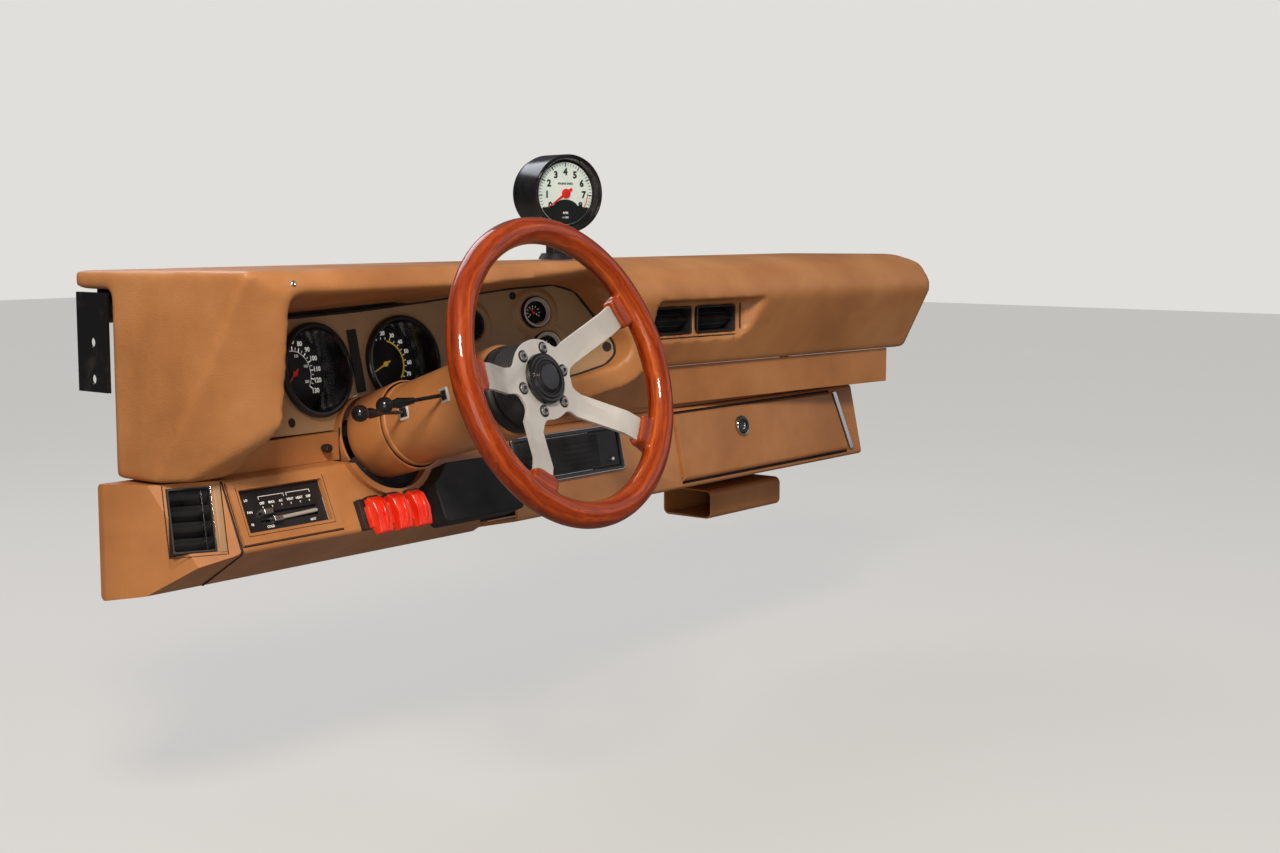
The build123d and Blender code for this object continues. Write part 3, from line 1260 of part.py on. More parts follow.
# Hub boot, a rubber dome over the hub adapter
with BuildPart() as hub_boot:
    corners = (
        (DISH + BOOT_STEPS[0][0], SHAFT_RADIUS + SHAFT_FIT),
        *((DISH + depth, radius) for depth, radius in BOOT_STEPS),
        (BOOT_BACK, BOOT_RADIUS),
        (BOOT_BACK, SHAFT_RADIUS + SHAFT_FIT),
    )
    revolve(half_section(*corners), axis=COLUMN_AXIS)
finish(hub_boot, "hub_boot")

# Wheel plate: a dished sheet cut to the hub and four spokes
with BuildPart() as wheel_plate:
    with BuildSketch(COLUMN_SIDE):
        with BuildLine():
            Polyline(
                (DISH, 0),
                (DISH, SPOKE_BEND_INNER),
                (SPOKE_KNEE, SPOKE_BEND_OUTER),
                (SPOKE_TIP, SPOKE_REACH),
                (SPOKE_TIP + SPOKE_THICK, SPOKE_REACH),
                (SPOKE_KNEE + SPOKE_THICK, SPOKE_BEND_OUTER + SPOKE_THICK / 2),
                (DISH + SPOKE_THICK, SPOKE_BEND_INNER + SPOKE_THICK / 2),
                (DISH + SPOKE_THICK, 0),
                close=True,
            )
        make_face()
    revolve(axis=COLUMN_AXIS)
    with BuildSketch(station(0)) as outline:
        Circle(HUB_RADIUS)
        for angle in SPOKE_ANGLES:
            with Locations(Location((0, 0, 0), (0, 0, 1), angle)):
                Rectangle(SPOKE_REACH, SPOKE_WIDTH, align=(Align.MIN, Align.CENTER))
        fillet(outline.vertices().group_by(lambda corner: round(corner.center().length))[0], SPOKE_FILLET)
    extrude(amount=2 * DISH, both=True, mode=Mode.INTERSECT)
    with BuildSketch(station(DISH + SPOKE_THICK)):
        with PolarLocations(SCREW_CIRCLE / 2, SCREW_COUNT, start_angle=SCREW_START):
            Circle(SCREW_RADIUS)
    extrude(amount=2 * SPOKE_THICK, mode=Mode.SUBTRACT)
finish(wheel_plate, "wheel_plate")

with BuildPart() as wheel_rim:
    with BuildSketch(COLUMN_SIDE):
        with Locations((0, RIM_RADIUS)):
            Circle(RIM_TUBE)
    revolve(axis=COLUMN_AXIS)
    for angle in SPOKE_ANGLES:
        with BuildSketch(station(BLOCK_BACK)):
            with Locations(Location((0, 0, 0), (0, 0, 1), angle)):
                with Locations((BLOCK_START + BLOCK_LENGTH / 2, 0)):
                    RectangleRounded(BLOCK_LENGTH, BLOCK_WIDTH, BLOCK_CORNER)
        extrude(amount=BLOCK_THICK)
        # Slot that takes the end of the spoke
        with BuildSketch(station(SPOKE_TIP + SPOKE_THICK + SLOT_BACK)):
            with Locations(Location((0, 0, 0), (0, 0, 1), angle)):
                Rectangle(SPOKE_REACH + SEAT, SPOKE_WIDTH + 2 * SEAT, align=(Align.MIN, Align.CENTER))
        extrude(amount=SPOKE_THICK + SLOT_BACK + SEAT, mode=Mode.SUBTRACT)
finish(wheel_rim, "wheel_rim")

with BuildPart() as horn_button:
    corners = (
        (DISH - SEAT, 0),
        (DISH - SEAT, HORN_RADIUS),
        *((DISH - height, HORN_RADIUS - inset) for height, inset in HORN_STEPS),
        (DISH - HORN_PROUD - HORN_CROWN, 0),
    )
    revolve(half_section(*corners), axis=COLUMN_AXIS)
finish(horn_button, "horn_button")

# Tachometer: a cup with a recessed face, turned toward the driver, on a pedestal
TACH = turned(Plane(origin=(TACH_X, TACH_Y, TACH_Z), x_dir=(1, 0, 0), z_dir=(0, -1, 0)), -TACH_TURN)
TACH_SIDE = Plane(origin=TACH.origin, x_dir=TACH.x_dir, z_dir=-TACH.y_dir)
with BuildPart() as tach_case:
    back = -TACH_DEPTH / 2
    front = TACH_DEPTH / 2
    with BuildSketch(TACH_SIDE):
        with BuildLine():
            Line((0, back), (TACH_RADIUS - TACH_SHOULDER, back))
            shoulder_end = (TACH_RADIUS, back + TACH_SHOULDER)
            TangentArc((TACH_RADIUS - TACH_SHOULDER, back), shoulder_end, tangent=(1, 0))
            Polyline(
                shoulder_end,
                (TACH_RADIUS, front),
                (TACH_RADIUS - TACH_WALL, front),
                (TACH_RADIUS - 2 * TACH_WALL, front - TACH_RECESS),
                (0, front - TACH_RECESS),
                (0, back),
            )
        make_face()
    revolve(axis=Axis(TACH.origin, TACH.z_dir))
finish(tach_case, "tach_case")
with BuildPart() as tach_foot:
    foot_level = PAD_TOP + TACH_FOOT_LIFT
    with BuildSketch(Plane.XY.offset(foot_level)):
        with Locations((TACH_X, TACH_Y)):
            Circle(TACH_FOOT_RADIUS)
    extrude(amount=TACH_FOOT_THICK, taper=TACH_FOOT_TAPER)
    with BuildSketch(Plane.XY.offset(foot_level + TACH_FOOT_THICK)):
        with Locations((TACH_X, TACH_Y)):
            RectangleRounded(TACH_NECK_WIDE, TACH_NECK_DEEP, TACH_NECK_CORNER)
    extrude(amount=TACH_Z - TACH_RADIUS / 2 - foot_level - TACH_FOOT_THICK)
    with BuildSketch(TACH.offset(-TACH_DEPTH)):
        Circle(TACH_RADIUS + SEAT)
    extrude(amount=2 * TACH_DEPTH, mode=Mode.SUBTRACT)
finish(tach_foot, "tach_foot")
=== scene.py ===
"""Looks of a two-door car's dashboard, its steering column and its wooden steering wheel.

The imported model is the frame. Lengths are written in millimetres and turned to metres where they are placed.
+X points to the passenger side, +Y to the front of the car, +Z up.
"""

import math
from contextlib import contextmanager

import bmesh
import bpy
import numpy as np
from mathutils import Matrix


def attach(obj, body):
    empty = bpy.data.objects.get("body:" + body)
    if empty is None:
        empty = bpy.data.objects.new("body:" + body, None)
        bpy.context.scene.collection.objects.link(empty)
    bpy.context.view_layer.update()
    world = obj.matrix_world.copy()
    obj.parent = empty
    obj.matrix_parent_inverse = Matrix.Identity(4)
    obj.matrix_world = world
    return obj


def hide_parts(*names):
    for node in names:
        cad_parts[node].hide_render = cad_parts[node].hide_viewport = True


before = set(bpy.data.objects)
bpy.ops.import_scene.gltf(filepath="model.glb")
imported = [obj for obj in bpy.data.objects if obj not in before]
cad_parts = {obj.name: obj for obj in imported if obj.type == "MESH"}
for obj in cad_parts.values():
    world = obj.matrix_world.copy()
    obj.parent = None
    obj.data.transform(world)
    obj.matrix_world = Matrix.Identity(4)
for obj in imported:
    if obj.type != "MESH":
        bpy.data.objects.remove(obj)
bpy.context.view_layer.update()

MM = 0.001

# Driving sizes, the same as the solids' own, in millimetres and degrees
WHEEL_CENTRE = (-370.0, -430.0, -75.0)
COLUMN_RAKE = 17.8
RIM_RADIUS = 160.0
DISH = 34.0
SCREW_CIRCLE = 74.0
SCREW_START = 12.0
SCREW_COUNT = 6
SHAFT_BORE = 10.3
PLATE_ORIGIN = (-400.0, -105.0, -85.0)
PLATE_LEAN = 10.0
PLATE_RADIUS = 850.0
LOWER_TOP = (-154.0, -192.0)
LOWER_FOOT = (-187.0, -268.0)
GLOVE_TOP = (-170.0, -180.0)
GLOVE_FOOT = (-194.0, -291.0)
END_TURN = 25.0
END_LEFT = -620.0
VENT_ORIGIN = (20.0, -178.0, 0.0)
VENT_SWEEP = math.degrees(math.atan(70.0 / 720.0))
TACH_CENTRE = (6.0, -100.0, 124.0)
TACH_TURN = 20.0

# Camera of the photograph: its place, its turn from +Y toward +X and down, and its focal length in pixels
CAMERA_PLACE = (-1858.0, -1665.0, 90.0)
CAMERA_YAW = 52.7
CAMERA_PITCH = 6.65
CAMERA_ROLL = 0.17
FOCAL_PIXELS = 1778.0
PHOTO_WIDTH = 1280.0
SENSOR = 36.0

# How fine curves are made: points on the small arc of a path or an edge, points on a rounded rectangle's
# corner, and the half angle in degrees past which a corner counts as straight
ARC_POINTS = 5
CORNER_POINTS = 6
NEARLY_STRAIGHT = 88.0
# A rod's radius where it is closed, and the thickness of printed ink
PIN_END = 0.02
INK = 0.15


def unit(vector):
    """The vector at length one."""
    vector = np.array(vector, float)
    return vector / np.linalg.norm(vector)


def face_at(origin, across, out):
    """Frame of a face: its origin in millimetres and unit vectors across it, up it and out of it."""
    across, out = unit(across), unit(out)
    return np.array(origin, float), np.array([across, np.cross(out, across), out])


def put(face, points):
    """Points given across, up and out of a face in millimetres, as points of the row frame in metres."""
    origin, axes = face
    return (origin + np.asarray(points, float) @ axes) * MM


def moved(face, across=0.0, up=0.0, out=0.0, spin=0.0, swing=0.0):
    """The face moved along itself, then turned about its out axis and its up axis, in degrees."""
    origin, axes = face
    origin = origin + np.array([across, up, out]) @ axes
    for axis, angle in ((2, spin), (1, swing)):
        first, second = (axis + 1) % 3, (axis + 2) % 3
        cos, sin = math.cos(math.radians(angle)), math.sin(math.radians(angle))
        one, other = axes[first], axes[second]
        axes = axes.copy()
        axes[first], axes[second] = one * cos + other * sin, other * cos - one * sin
    return origin, axes


def sloping(top, foot):
    """Face of a panel that runs across the car, from its top and foot in Y and Z."""
    rise = unit((0, top[0] - foot[0], top[1] - foot[1]))
    return face_at((0, *top), (1, 0, 0), (0, -rise[2], rise[1]))


RAKE, LEAN, SWEEP = (math.radians(angle) for angle in (COLUMN_RAKE, PLATE_LEAN, VENT_SWEEP))
# The row frame itself as the driver sees it: X across, Z up and -Y toward the driver
ROW = face_at((0, 0, 0), (1, 0, 0), (0, -1, 0))
WHEEL = face_at(WHEEL_CENTRE, (1, 0, 0), (0, -math.cos(RAKE), math.sin(RAKE)))
PLATE = face_at(PLATE_ORIGIN, (1, 0, 0), (0, -math.cos(LEAN), math.sin(LEAN)))
LOWER = sloping(LOWER_TOP, LOWER_FOOT)
GLOVE = sloping(GLOVE_TOP, GLOVE_FOOT)
END_ALONG = (-math.cos(math.radians(END_TURN)), math.sin(math.radians(END_TURN)), 0)
# The end face at the door: X left along it, Y down it
END = face_at((END_LEFT, *LOWER_TOP), END_ALONG, -np.cross(END_ALONG, LOWER[1][1]))
VENT = face_at(VENT_ORIGIN, (math.cos(SWEEP), -math.sin(SWEEP), 0), (-math.sin(SWEEP), -math.cos(SWEEP), 0))
TACH = moved(face_at(TACH_CENTRE, (1, 0, 0), (0, -1, 0)), swing=-TACH_TURN)


def at_level(points, level):
    """Points across and up with a level out of the face added, one for all of them or one for each."""
    points = np.asarray(points, float)
    level = np.broadcast_to(level, points.shape[:-1])
    return np.concatenate([points, level[..., None]], -1)


def circle(radius, angle):
    """Points across and up on a circle, (radius cos a, radius sin a), for angles in radians."""
    return np.stack([radius * np.cos(angle), radius * np.sin(angle)], -1)


def plate_depth(across):
    """How far the curved gauge plate stands toward the driver: the sagitta of its arc."""
    return PLATE_RADIUS - np.sqrt(PLATE_RADIUS**2 - np.asarray(across, float) ** 2)


def on_plate(across, up):
    """Face square to the gauge plate at a place on it."""
    turn = math.degrees(math.asin(across / PLATE_RADIUS))
    return moved(PLATE, across, up, float(plate_depth(across)), swing=-turn)


def on_plate_grid(points, level):
    """Points across and up the flat PLATE, laid on its arc and raised by the level."""
    points = np.asarray(points, float)
    return at_level(points, plate_depth(points[..., 0]) + level)


def lattice(points, wrap_rows=False, wrap_columns=False):
    """Shell over a grid of points (rows, columns, 3): one four-sided face between each four neighbours."""
    rows, columns = points.shape[:2]
    row = np.arange(rows if wrap_rows else rows - 1)[:, None]
    column = np.arange(columns if wrap_columns else columns - 1)[None, :]
    below, beside = (row + 1) % rows, (column + 1) % columns
    corners = (row, column), (row, beside), (below, beside), (below, column)
    faces = np.stack(np.broadcast_arrays(*(down * columns + along for down, along in corners)), -1)
    return points.reshape(-1, 3), faces.reshape(-1, 4).tolist()


def eased(path, radius):
    """Open path in two dimensions with each inner corner replaced by an arc tangent to both of its runs,
    of which it takes no more than 45 percent."""
    path = np.asarray(path, float)
    made = [path[:1]]
    for before, corner, after in zip(path[:-2], path[1:-1], path[2:]):
        back, ahead = before - corner, after - corner
        length_back, length_ahead = np.linalg.norm(back), np.linalg.norm(ahead)
        back, ahead = back / length_back, ahead / length_ahead
        half = math.acos(np.clip(back @ ahead, -1, 1)) / 2
        if half > math.radians(NEARLY_STRAIGHT):
            made.append(corner[None])
            continue
        trim = min(radius / math.tan(half), 0.45 * length_back, 0.45 * length_ahead)
        arc_radius = trim * math.tan(half)
        middle = corner + unit(back + ahead) * arc_radius / math.sin(half)
        start, end = corner + back * trim - middle, corner + ahead * trim - middle
        sweep = math.atan2(start[0] * end[1] - start[1] * end[0], start @ end)
        angle = np.linspace(0, sweep, ARC_POINTS)[:, None]
        square = np.array([-start[1], start[0]])
        made.append(middle + start * np.cos(angle) + square * np.sin(angle))
    made.append(path[-1:])
    return np.vstack(made)


def turned(face, profile, steps=72, ease=0.0):
    """Surface of revolution about the face's out axis: the profile gives radius and level, and each of
    its points runs round a circle. A radius given as ease rounds the profile's corners."""
    profile = eased(profile, ease) if ease else np.asarray(profile, float)
    angle = np.linspace(0, 2 * math.pi, steps, endpoint=False)
    return lattice(put(face, at_level(circle(profile[:, :1], angle), profile[:, 1:])), wrap_columns=True)


def rounded_outline(width, height, corner):
    """Rounded rectangle about the origin: four quarter circles joined by straight sides."""
    corner = min(corner, width / 2, height / 2)
    quarter = np.linspace(0, math.pi / 2, CORNER_POINTS)
    runs = []
    for turn, side_x, side_y in ((0, 1, 1), (1, -1, 1), (2, -1, -1), (3, 1, -1)):
        centre = np.array([side_x * (width / 2 - corner), side_y * (height / 2 - corner)])
        runs.append(centre + circle(corner, quarter + turn * math.pi / 2))
    return np.vstack(runs)


def rings(centre, size, corner, stations, shrink=0.0):
    """Rounded rectangles about a centre, one for each station, drawn in by its inset and set at its
    level. Their corner loses the given share of the inset."""
    made = []
    for inset, level in stations:
        rounding = max(corner - shrink * inset, 0.05)
        outline = rounded_outline(size[0] - 2 * inset, size[1] - 2 * inset, rounding)
        made.append(at_level(outline + centre, level))
    return made


def block(face, centre, size, corner, low, high, edge=1.0, taper=0.0):
    """Closed block: a rounded rectangle carried from one level to the other, drawn in by the taper on
    its way and by a quarter circle at its outer edge, with both ends closed to their middle."""
    bend = np.linspace(0, math.pi / 2, ARC_POINTS)
    rolled_edge = ((taper + edge * (1 - math.cos(a)), high - edge + edge * math.sin(a)) for a in bend)
    made = rings(centre, size, corner, [(0, low), *rolled_edge], 1.0)
    ends = [np.tile([*centre, level], (len(made[0]), 1)) for level in (low, high)]
    return lattice(put(face, np.array([ends[0], *made, ends[1]])), wrap_columns=True)


def rod(face, path, radii, steps=16):
    """Tube along a straight or bent path of points across, up and out, with one radius or one at each
    point: a circle square to the path, carried along it."""
    path = np.asarray(path, float)
    radii = np.broadcast_to(np.asarray(radii, float), len(path))[:, None, None]
    along = np.gradient(path, axis=0)
    along /= np.linalg.norm(along, axis=1, keepdims=True)
    no_rods_way = unit((0.31, 0.22, 0.92))
    side = np.cross(along, no_rods_way)
    side /= np.linalg.norm(side, axis=1, keepdims=True)
    other = np.cross(along, side)
    angle = np.linspace(0, 2 * math.pi, steps, endpoint=False)[None, :, None]
    points = path[:, None] + radii * (np.cos(angle) * side[:, None] + np.sin(angle) * other[:, None])
    return lattice(put(face, points), wrap_columns=True)


def prism(face, outline, low, high):
    """Closed prism on an outline of points that is star-shaped about its mean."""
    outline = np.asarray(outline, float)
    middle = outline.mean(0) + 0 * outline
    stack = ((middle, low), (outline, low), (outline, high), (middle, high))
    points = np.array([at_level(ring, level) for ring, level in stack])
    return lattice(put(face, points), wrap_columns=True)


def linked(name, data):
    """A new object in the scene."""
    thing = bpy.data.objects.new(name, data)
    bpy.context.scene.collection.objects.link(thing)
    return thing


def evaluated(thing):
    """A new mesh of an object as its letters or its modifiers make it."""
    return bpy.data.meshes.new_from_object(thing.evaluated_get(bpy.context.evaluated_depsgraph_get()))


def points_of(mesh):
    """The points of a mesh as rows of three, in metres."""
    points = np.zeros(len(mesh.vertices) * 3)
    mesh.vertices.foreach_get("co", points)
    return points.reshape(-1, 3)


def set_points(mesh, points):
    """Move the points of a mesh, in metres."""
    mesh.vertices.foreach_set("co", points.ravel())
    mesh.update()


@contextmanager
def editing(mesh):
    """The mesh opened in Blender's mesh editor, and written back at the end."""
    work = bmesh.new()
    work.from_mesh(mesh)
    yield work
    work.to_mesh(mesh)
    work.free()


def word(face, text, centre, size, lift=INK, bold=0.02):
    """Flat letters of the built-in plain font, made thicker by a share of their size, as a mesh on the
    face."""
    curve = bpy.data.curves.new("word", "FONT")
    curve.body, curve.size, curve.offset = text, size, size * bold
    curve.align_x, curve.align_y = "CENTER", "CENTER"
    curve.resolution_u = 2
    letters = linked("word", curve)
    mesh = evaluated(letters)
    points, faces = points_of(mesh), [tuple(polygon.vertices) for polygon in mesh.polygons]
    bpy.data.objects.remove(letters)
    bpy.data.curves.remove(curve)
    bpy.data.meshes.remove(mesh)
    return put(moved(face, centre[0], centre[1], lift), points), faces


def dress(thing, body, slot, finish, *nodes):
    """Give a piece its material and body, and let it stand for the nodes named, which it hides. The slot is
    not used.
    """
    thing.data.materials.clear()
    thing.data.materials.append(finish)
    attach(thing, body)
    if nodes:
        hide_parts(*nodes)


def piece(name, shells, slot, finish, *nodes, body="dashboard"):
    """One piece from several shells: doubled points merged, faces turned outwards, all but sharp edges
    smooth."""
    points, faces, start = [], [], 0
    for shell_points, shell_faces in shells:
        points.append(shell_points)
        faces += [tuple(index + start for index in face) for face in shell_faces]
        start += len(shell_points)
    mesh = bpy.data.meshes.new(name)
    mesh.from_pydata(np.vstack(points).tolist(), [], faces)
    with editing(mesh) as work:
        bmesh.ops.remove_doubles(work, verts=work.verts, dist=1e-6)
        bmesh.ops.dissolve_degenerate(work, edges=work.edges, dist=1e-6)
        bmesh.ops.recalc_face_normals(work, faces=work.faces)
    mesh.shade_smooth()
    mesh.set_sharp_from_angle(angle=math.radians(40))
    dress(linked(name, mesh), body, slot, finish, *nodes)


def copy_of(node, name):
    """A free copy of a solid of the model, with its loose triangles merged."""
    thing = linked(name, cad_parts[node].data.copy())
    for attribute in [a.name for a in thing.data.attributes if a.name.startswith("custom_normal")]:
        thing.data.attributes.remove(thing.data.attributes[attribute])
    with editing(thing.data) as work:
        bmesh.ops.remove_doubles(work, verts=work.verts, dist=2e-6)
    return thing


def rolled(node, name, width, slot, finish, body="dashboard", segments=3, angle=28.0):
    """A copy of a solid with its flat faces made whole and its edges rolled over by a width, standing
    for it."""
    thing = copy_of(node, name)
    with editing(thing.data) as work:
        bmesh.ops.dissolve_limit(work, angle_limit=math.radians(1), verts=work.verts, edges=work.edges)
    thing.data.shade_smooth()
    bevel = thing.modifiers.new("rolled edges", "BEVEL")
    bevel.width = width * MM
    bevel.segments = segments
    bevel.limit_method = "ANGLE"
    bevel.angle_limit = math.radians(angle)
    bevel.harden_normals = True
    bevel.miter_outer = "MITER_ARC"
    dress(thing, body, slot, finish, node)


def relaxed(thing, rounds, held=None):
    """Move each point half way to the mean of its neighbours, again and again, so that sharp edges
    become round; held gives a share from 0 to 1 for each point that keeps it where it is."""
    mesh = thing.data
    points = points_of(mesh)
    count = len(points)
    edges = np.zeros(len(mesh.edges) * 2, int)
    mesh.edges.foreach_get("vertices", edges)
    one, other = edges.reshape(-1, 2).T
    degree = np.bincount(one, minlength=count) + np.bincount(other, minlength=count)
    share = 0.5 * (1 - (held(points) if held else np.zeros(count)))[:, None]
    for _ in range(rounds):
        total = np.zeros_like(points)
        for column in range(3):
            total[:, column] = np.bincount(one, points[other, column], count)
            total[:, column] += np.bincount(other, points[one, column], count)
        points += share * (total / degree[:, None] - points)
    set_points(mesh, points)


def remeshed(node, name, voxel, rounds, held=None):
    """A copy of a solid in even small faces, with its edges relaxed to round ones."""
    thing = copy_of(node, name)
    remesh = thing.modifiers.new("even faces", "REMESH")
    remesh.mode = "VOXEL"
    remesh.voxel_size = voxel * MM
    mesh = evaluated(thing)
    thing.modifiers.clear()
    thing.data = mesh
    relaxed(thing, rounds, held)
    mesh.shade_smooth()
    return thing


def linear(code):
    """An sRGB hex colour as linear red, green, blue and full alpha."""
    channels = np.array([int(code[i : i + 2], 16) for i in (1, 3, 5)]) / 255
    low = channels / 12.92
    high = ((channels + 0.055) / 1.055) ** 2.4
    return (*np.where(channels <= 0.04045, low, high), 1.0)


def add(tree, kind, inputs=None, **settings):
    """A new node with its settings, and with each input set to a value or linked to a socket."""
    made = tree.nodes.new(kind)
    for key, value in settings.items():
        setattr(made, key, value)
    for key, value in (inputs or {}).items():
        socket = made.inputs[key]
        if isinstance(value, bpy.types.NodeSocket):
            tree.links.new(value, socket)
        else:
            socket.default_value = value
    return made


def finish_named(name, **shader):
    """A material with its shader's plain values set, its tree, its shader and the place on the object in
    metres."""
    material = bpy.data.materials.new(name)
    material.use_nodes = True
    tree = material.node_tree
    base = tree.nodes["Principled BSDF"]
    for key, value in shader.items():
        base.inputs[key.replace("_", " ")].default_value = value
    return material, tree, base, add(tree, "ShaderNodeTexCoord").outputs["Object"]


def feed(base, **sockets):
    """Link sockets to a shader's inputs."""
    for key, socket in sockets.items():
        base.id_data.links.new(socket, base.inputs[key.replace("_", " ")])


def noise(tree, place, grain, detail=2.0, rough=0.5, warp=0.0, output="Fac"):
    """Socket of cloudy noise whose lumps are about as wide as the grain, in millimetres."""
    return add(tree, "ShaderNodeTexNoise", {
        "Vector": place, "Scale": 1 / (grain * MM), "Detail": detail, "Roughness": rough, "Distortion": warp,
    }).outputs[output]


def ramp(tree, fac, *stops):
    """Socket of a colour ramp through stops of place and hex colour."""
    made = add(tree, "ShaderNodeValToRGB", {"Fac": fac})
    elements = made.color_ramp.elements
    while len(elements) < len(stops):
        elements.new(0.5)
    for element, (place, code) in zip(elements, stops):
        element.position = place
        element.color = linear(code)
    return made.outputs["Color"]


# Sockets of the Mix node that hold its two colours and the mixed one
FIRST_COLOUR, SECOND_COLOUR, MIXED_COLOUR = 6, 7, 2


def mixed(tree, fac, first, second):
    """Socket of two colours mixed by a factor; each is a socket or a hex colour."""
    first, second = (linear(c) if isinstance(c, str) else c for c in (first, second))
    inputs = {"Factor": fac, FIRST_COLOUR: first, SECOND_COLOUR: second}
    return add(tree, "ShaderNodeMix", inputs, data_type="RGBA").outputs[MIXED_COLOUR]


def sums(tree, operation, *values):
    """Socket of a sum, product or other plain calculation."""
    return add(tree, "ShaderNodeMath", dict(enumerate(values)), operation=operation).outputs[0]


def scaled(tree, fac, low, high, start=0.0, end=1.0):
    """Socket of a factor carried from one range, start to end, to another, low to high, and kept inside
    it."""
    return add(tree, "ShaderNodeMapRange", {
        "Value": fac, "From Min": start, "From Max": end, "To Min": low, "To Max": high,
    }).outputs["Result"]


def raised(base, height, depth, strength=1.0):
    """Bump of a given depth in millimetres on a shader."""
    inputs = {"Height": height, "Distance": depth * MM, "Strength": strength}
    feed(base, Normal=add(base.id_data, "ShaderNodeBump", inputs).outputs["Normal"])


def grained_tan(name, lit, middle, deep, roughness, grain, depth, worn):
    """Shared pattern of the tan trim: mottled colour with specks, a pebble grain from cell borders on
    slow waves, duller patches where hands rub it, and paler edges."""
    material, tree, base, place = finish_named(name, Specular_IOR_Level=0.5)
    colour = ramp(tree, noise(tree, place, 160, 4, 0.6), (0.28, deep), (0.5, middle), (0.74, lit))
    specks = scaled(tree, noise(tree, place, 6, 3, 0.7), 0, 0.35, 0.66, 0.78)
    edge = add(tree, "ShaderNodeNewGeometry").outputs["Pointiness"]
    colour = mixed(tree, scaled(tree, edge, 0, worn, 0.52, 0.62), mixed(tree, specks, colour, deep), lit)
    rub = noise(tree, place, 70, 3, 0.6)
    feed(base, Base_Color=colour, Roughness=scaled(tree, rub, roughness - 0.07, roughness + 0.09, 0.3, 0.7))
    cells = {"Vector": place, "Scale": 1 / (grain * MM), "Randomness": 1.0}
    border = add(tree, "ShaderNodeTexVoronoi", cells, feature="DISTANCE_TO_EDGE").outputs["Distance"]
    waves = sums(tree, "MULTIPLY", noise(tree, place, 55), 2.5)
    raised(base, sums(tree, "ADD", scaled(tree, border, 0, 1, 0, 0.25), waves), depth)
    return material


def vinyl_skin():
    """Embossed vinyl over foam: satin, with a pebble grain drawn 3 mm wide, about twice the real one, to
    show."""
    return grained_tan("embossed_vinyl", "#D29660", "#C0824E", "#A86E3F", 0.42, 3.0, 0.12, 0.5)


def moulded_vinyl():
    """Moulded ABS panels in dyed vinyl paint: a little flatter and smoother than the padded skin."""
    return grained_tan("dyed_moulded_abs", "#CC8F5A", "#B97B49", "#A0683B", 0.38, 2.4, 0.06, 0.45)


def moulded_surround():
    """Moulded ABS round the small gauges and beside the vent: the panels' grain in a greyer tan."""
    return grained_tan("moulded_gauge_surround", "#B8946E", "#A5825E", "#8F6F4E", 0.42, 2.4, 0.05, 0.4)


def column_enamel():
    """Die-cast and pressed shells in satin enamel, dyed to match: smooth, with a soft shine."""
    return grained_tan("satin_enamel_tan", "#C98B58", "#B87A48", "#A2693B", 0.34, 9.0, 0.03, 0.4)


def diamond_plate():
    """Pressed and printed plate: fine ribs in two crossed directions, drawn 3 mm apart, in a dull grey
    tan. At a scale of 1 the wave node's ribs are 0.314 apart."""
    material, tree, base, place = finish_named("diamond_pressed_plate", Roughness=0.5)
    ribs = []
    for turn in (35.0, -35.0):
        turning = {"Vector": place, "Rotation": (0, math.radians(turn), 0)}
        along = add(tree, "ShaderNodeMapping", turning).outputs["Vector"]
        wave = {"Vector": along, "Scale": 0.314 / (3.0 * MM), "Distortion": 0.0}
        ribs.append(add(tree, "ShaderNodeTexWave", wave, bands_direction="X").outputs["Fac"])
    weave = sums(tree, "MULTIPLY", *ribs)
    clouds = ramp(tree, noise(tree, place, 120, 3), (0.3, "#9C7C5B"), (0.7, "#B6946C"))
    feed(base, Base_Color=mixed(tree, sums(tree, "MULTIPLY", weave, 0.35), clouds, "#D2B48C"))
    raised(base, weave, 0.25)
    return material


def black_abs(name, colour, roughness, grain, depth):
    """Moulded black ABS: nearly black, with a spark-eroded texture and slightly uneven shine."""
    material, tree, base, place = finish_named(name)
    fine = noise(tree, place, grain, 3, 0.6)
    feed(base, Base_Color=ramp(tree, noise(tree, place, 40, 3), (0.3, colour), (0.75, "#2B2B2E")),
         Roughness=scaled(tree, fine, roughness - 0.05, roughness + 0.08))
    raised(base, fine, depth)
    return material


def red_abs():
    """Moulded red ABS of the switch covers: glossy, evenly dyed, with slight sinks."""
    material, tree, base, place = finish_named("moulded_red_abs", Coat_Weight=0.15, Coat_Roughness=0.08)
    feed(base, Base_Color=ramp(tree, noise(tree, place, 18), (0.3, "#E62410"), (0.7, "#F93E20")),
         Roughness=scaled(tree, noise(tree, place, 9, 3), 0.16, 0.3))
    raised(base, noise(tree, place, 12), 0.15)
    return material


def plated(name, colour, roughness, fleck):
    """Plated or polished metal: bright, with a faint haze of fine scratches."""
    material, tree, base, place = finish_named(name, Metallic=1.0)
    haze = noise(tree, place, fleck, 4, 0.65)
    feed(base, Base_Color=ramp(tree, haze, (0.2, colour), (0.8, "#E8E8E6")),
         Roughness=scaled(tree, haze, roughness * 0.7, roughness * 1.5, 0.3, 0.7))
    raised(base, noise(tree, place, 1.5), 0.01)
    return material


def blasted_aluminium():
    """Bead-blasted and clear-anodised aluminium sheet: pale, finely pitted, with a broad soft shine."""
    material, tree, base, place = finish_named("bead_blasted_aluminium", Metallic=0.45)
    clouds = noise(tree, place, 45, 3, 0.6)
    feed(base, Base_Color=ramp(tree, clouds, (0.25, "#CFCCC6"), (0.75, "#DEDCD7")),
         Roughness=scaled(tree, clouds, 0.46, 0.58))
    raised(base, noise(tree, place, 1.6, 3, 0.7), 0.05)
    return material


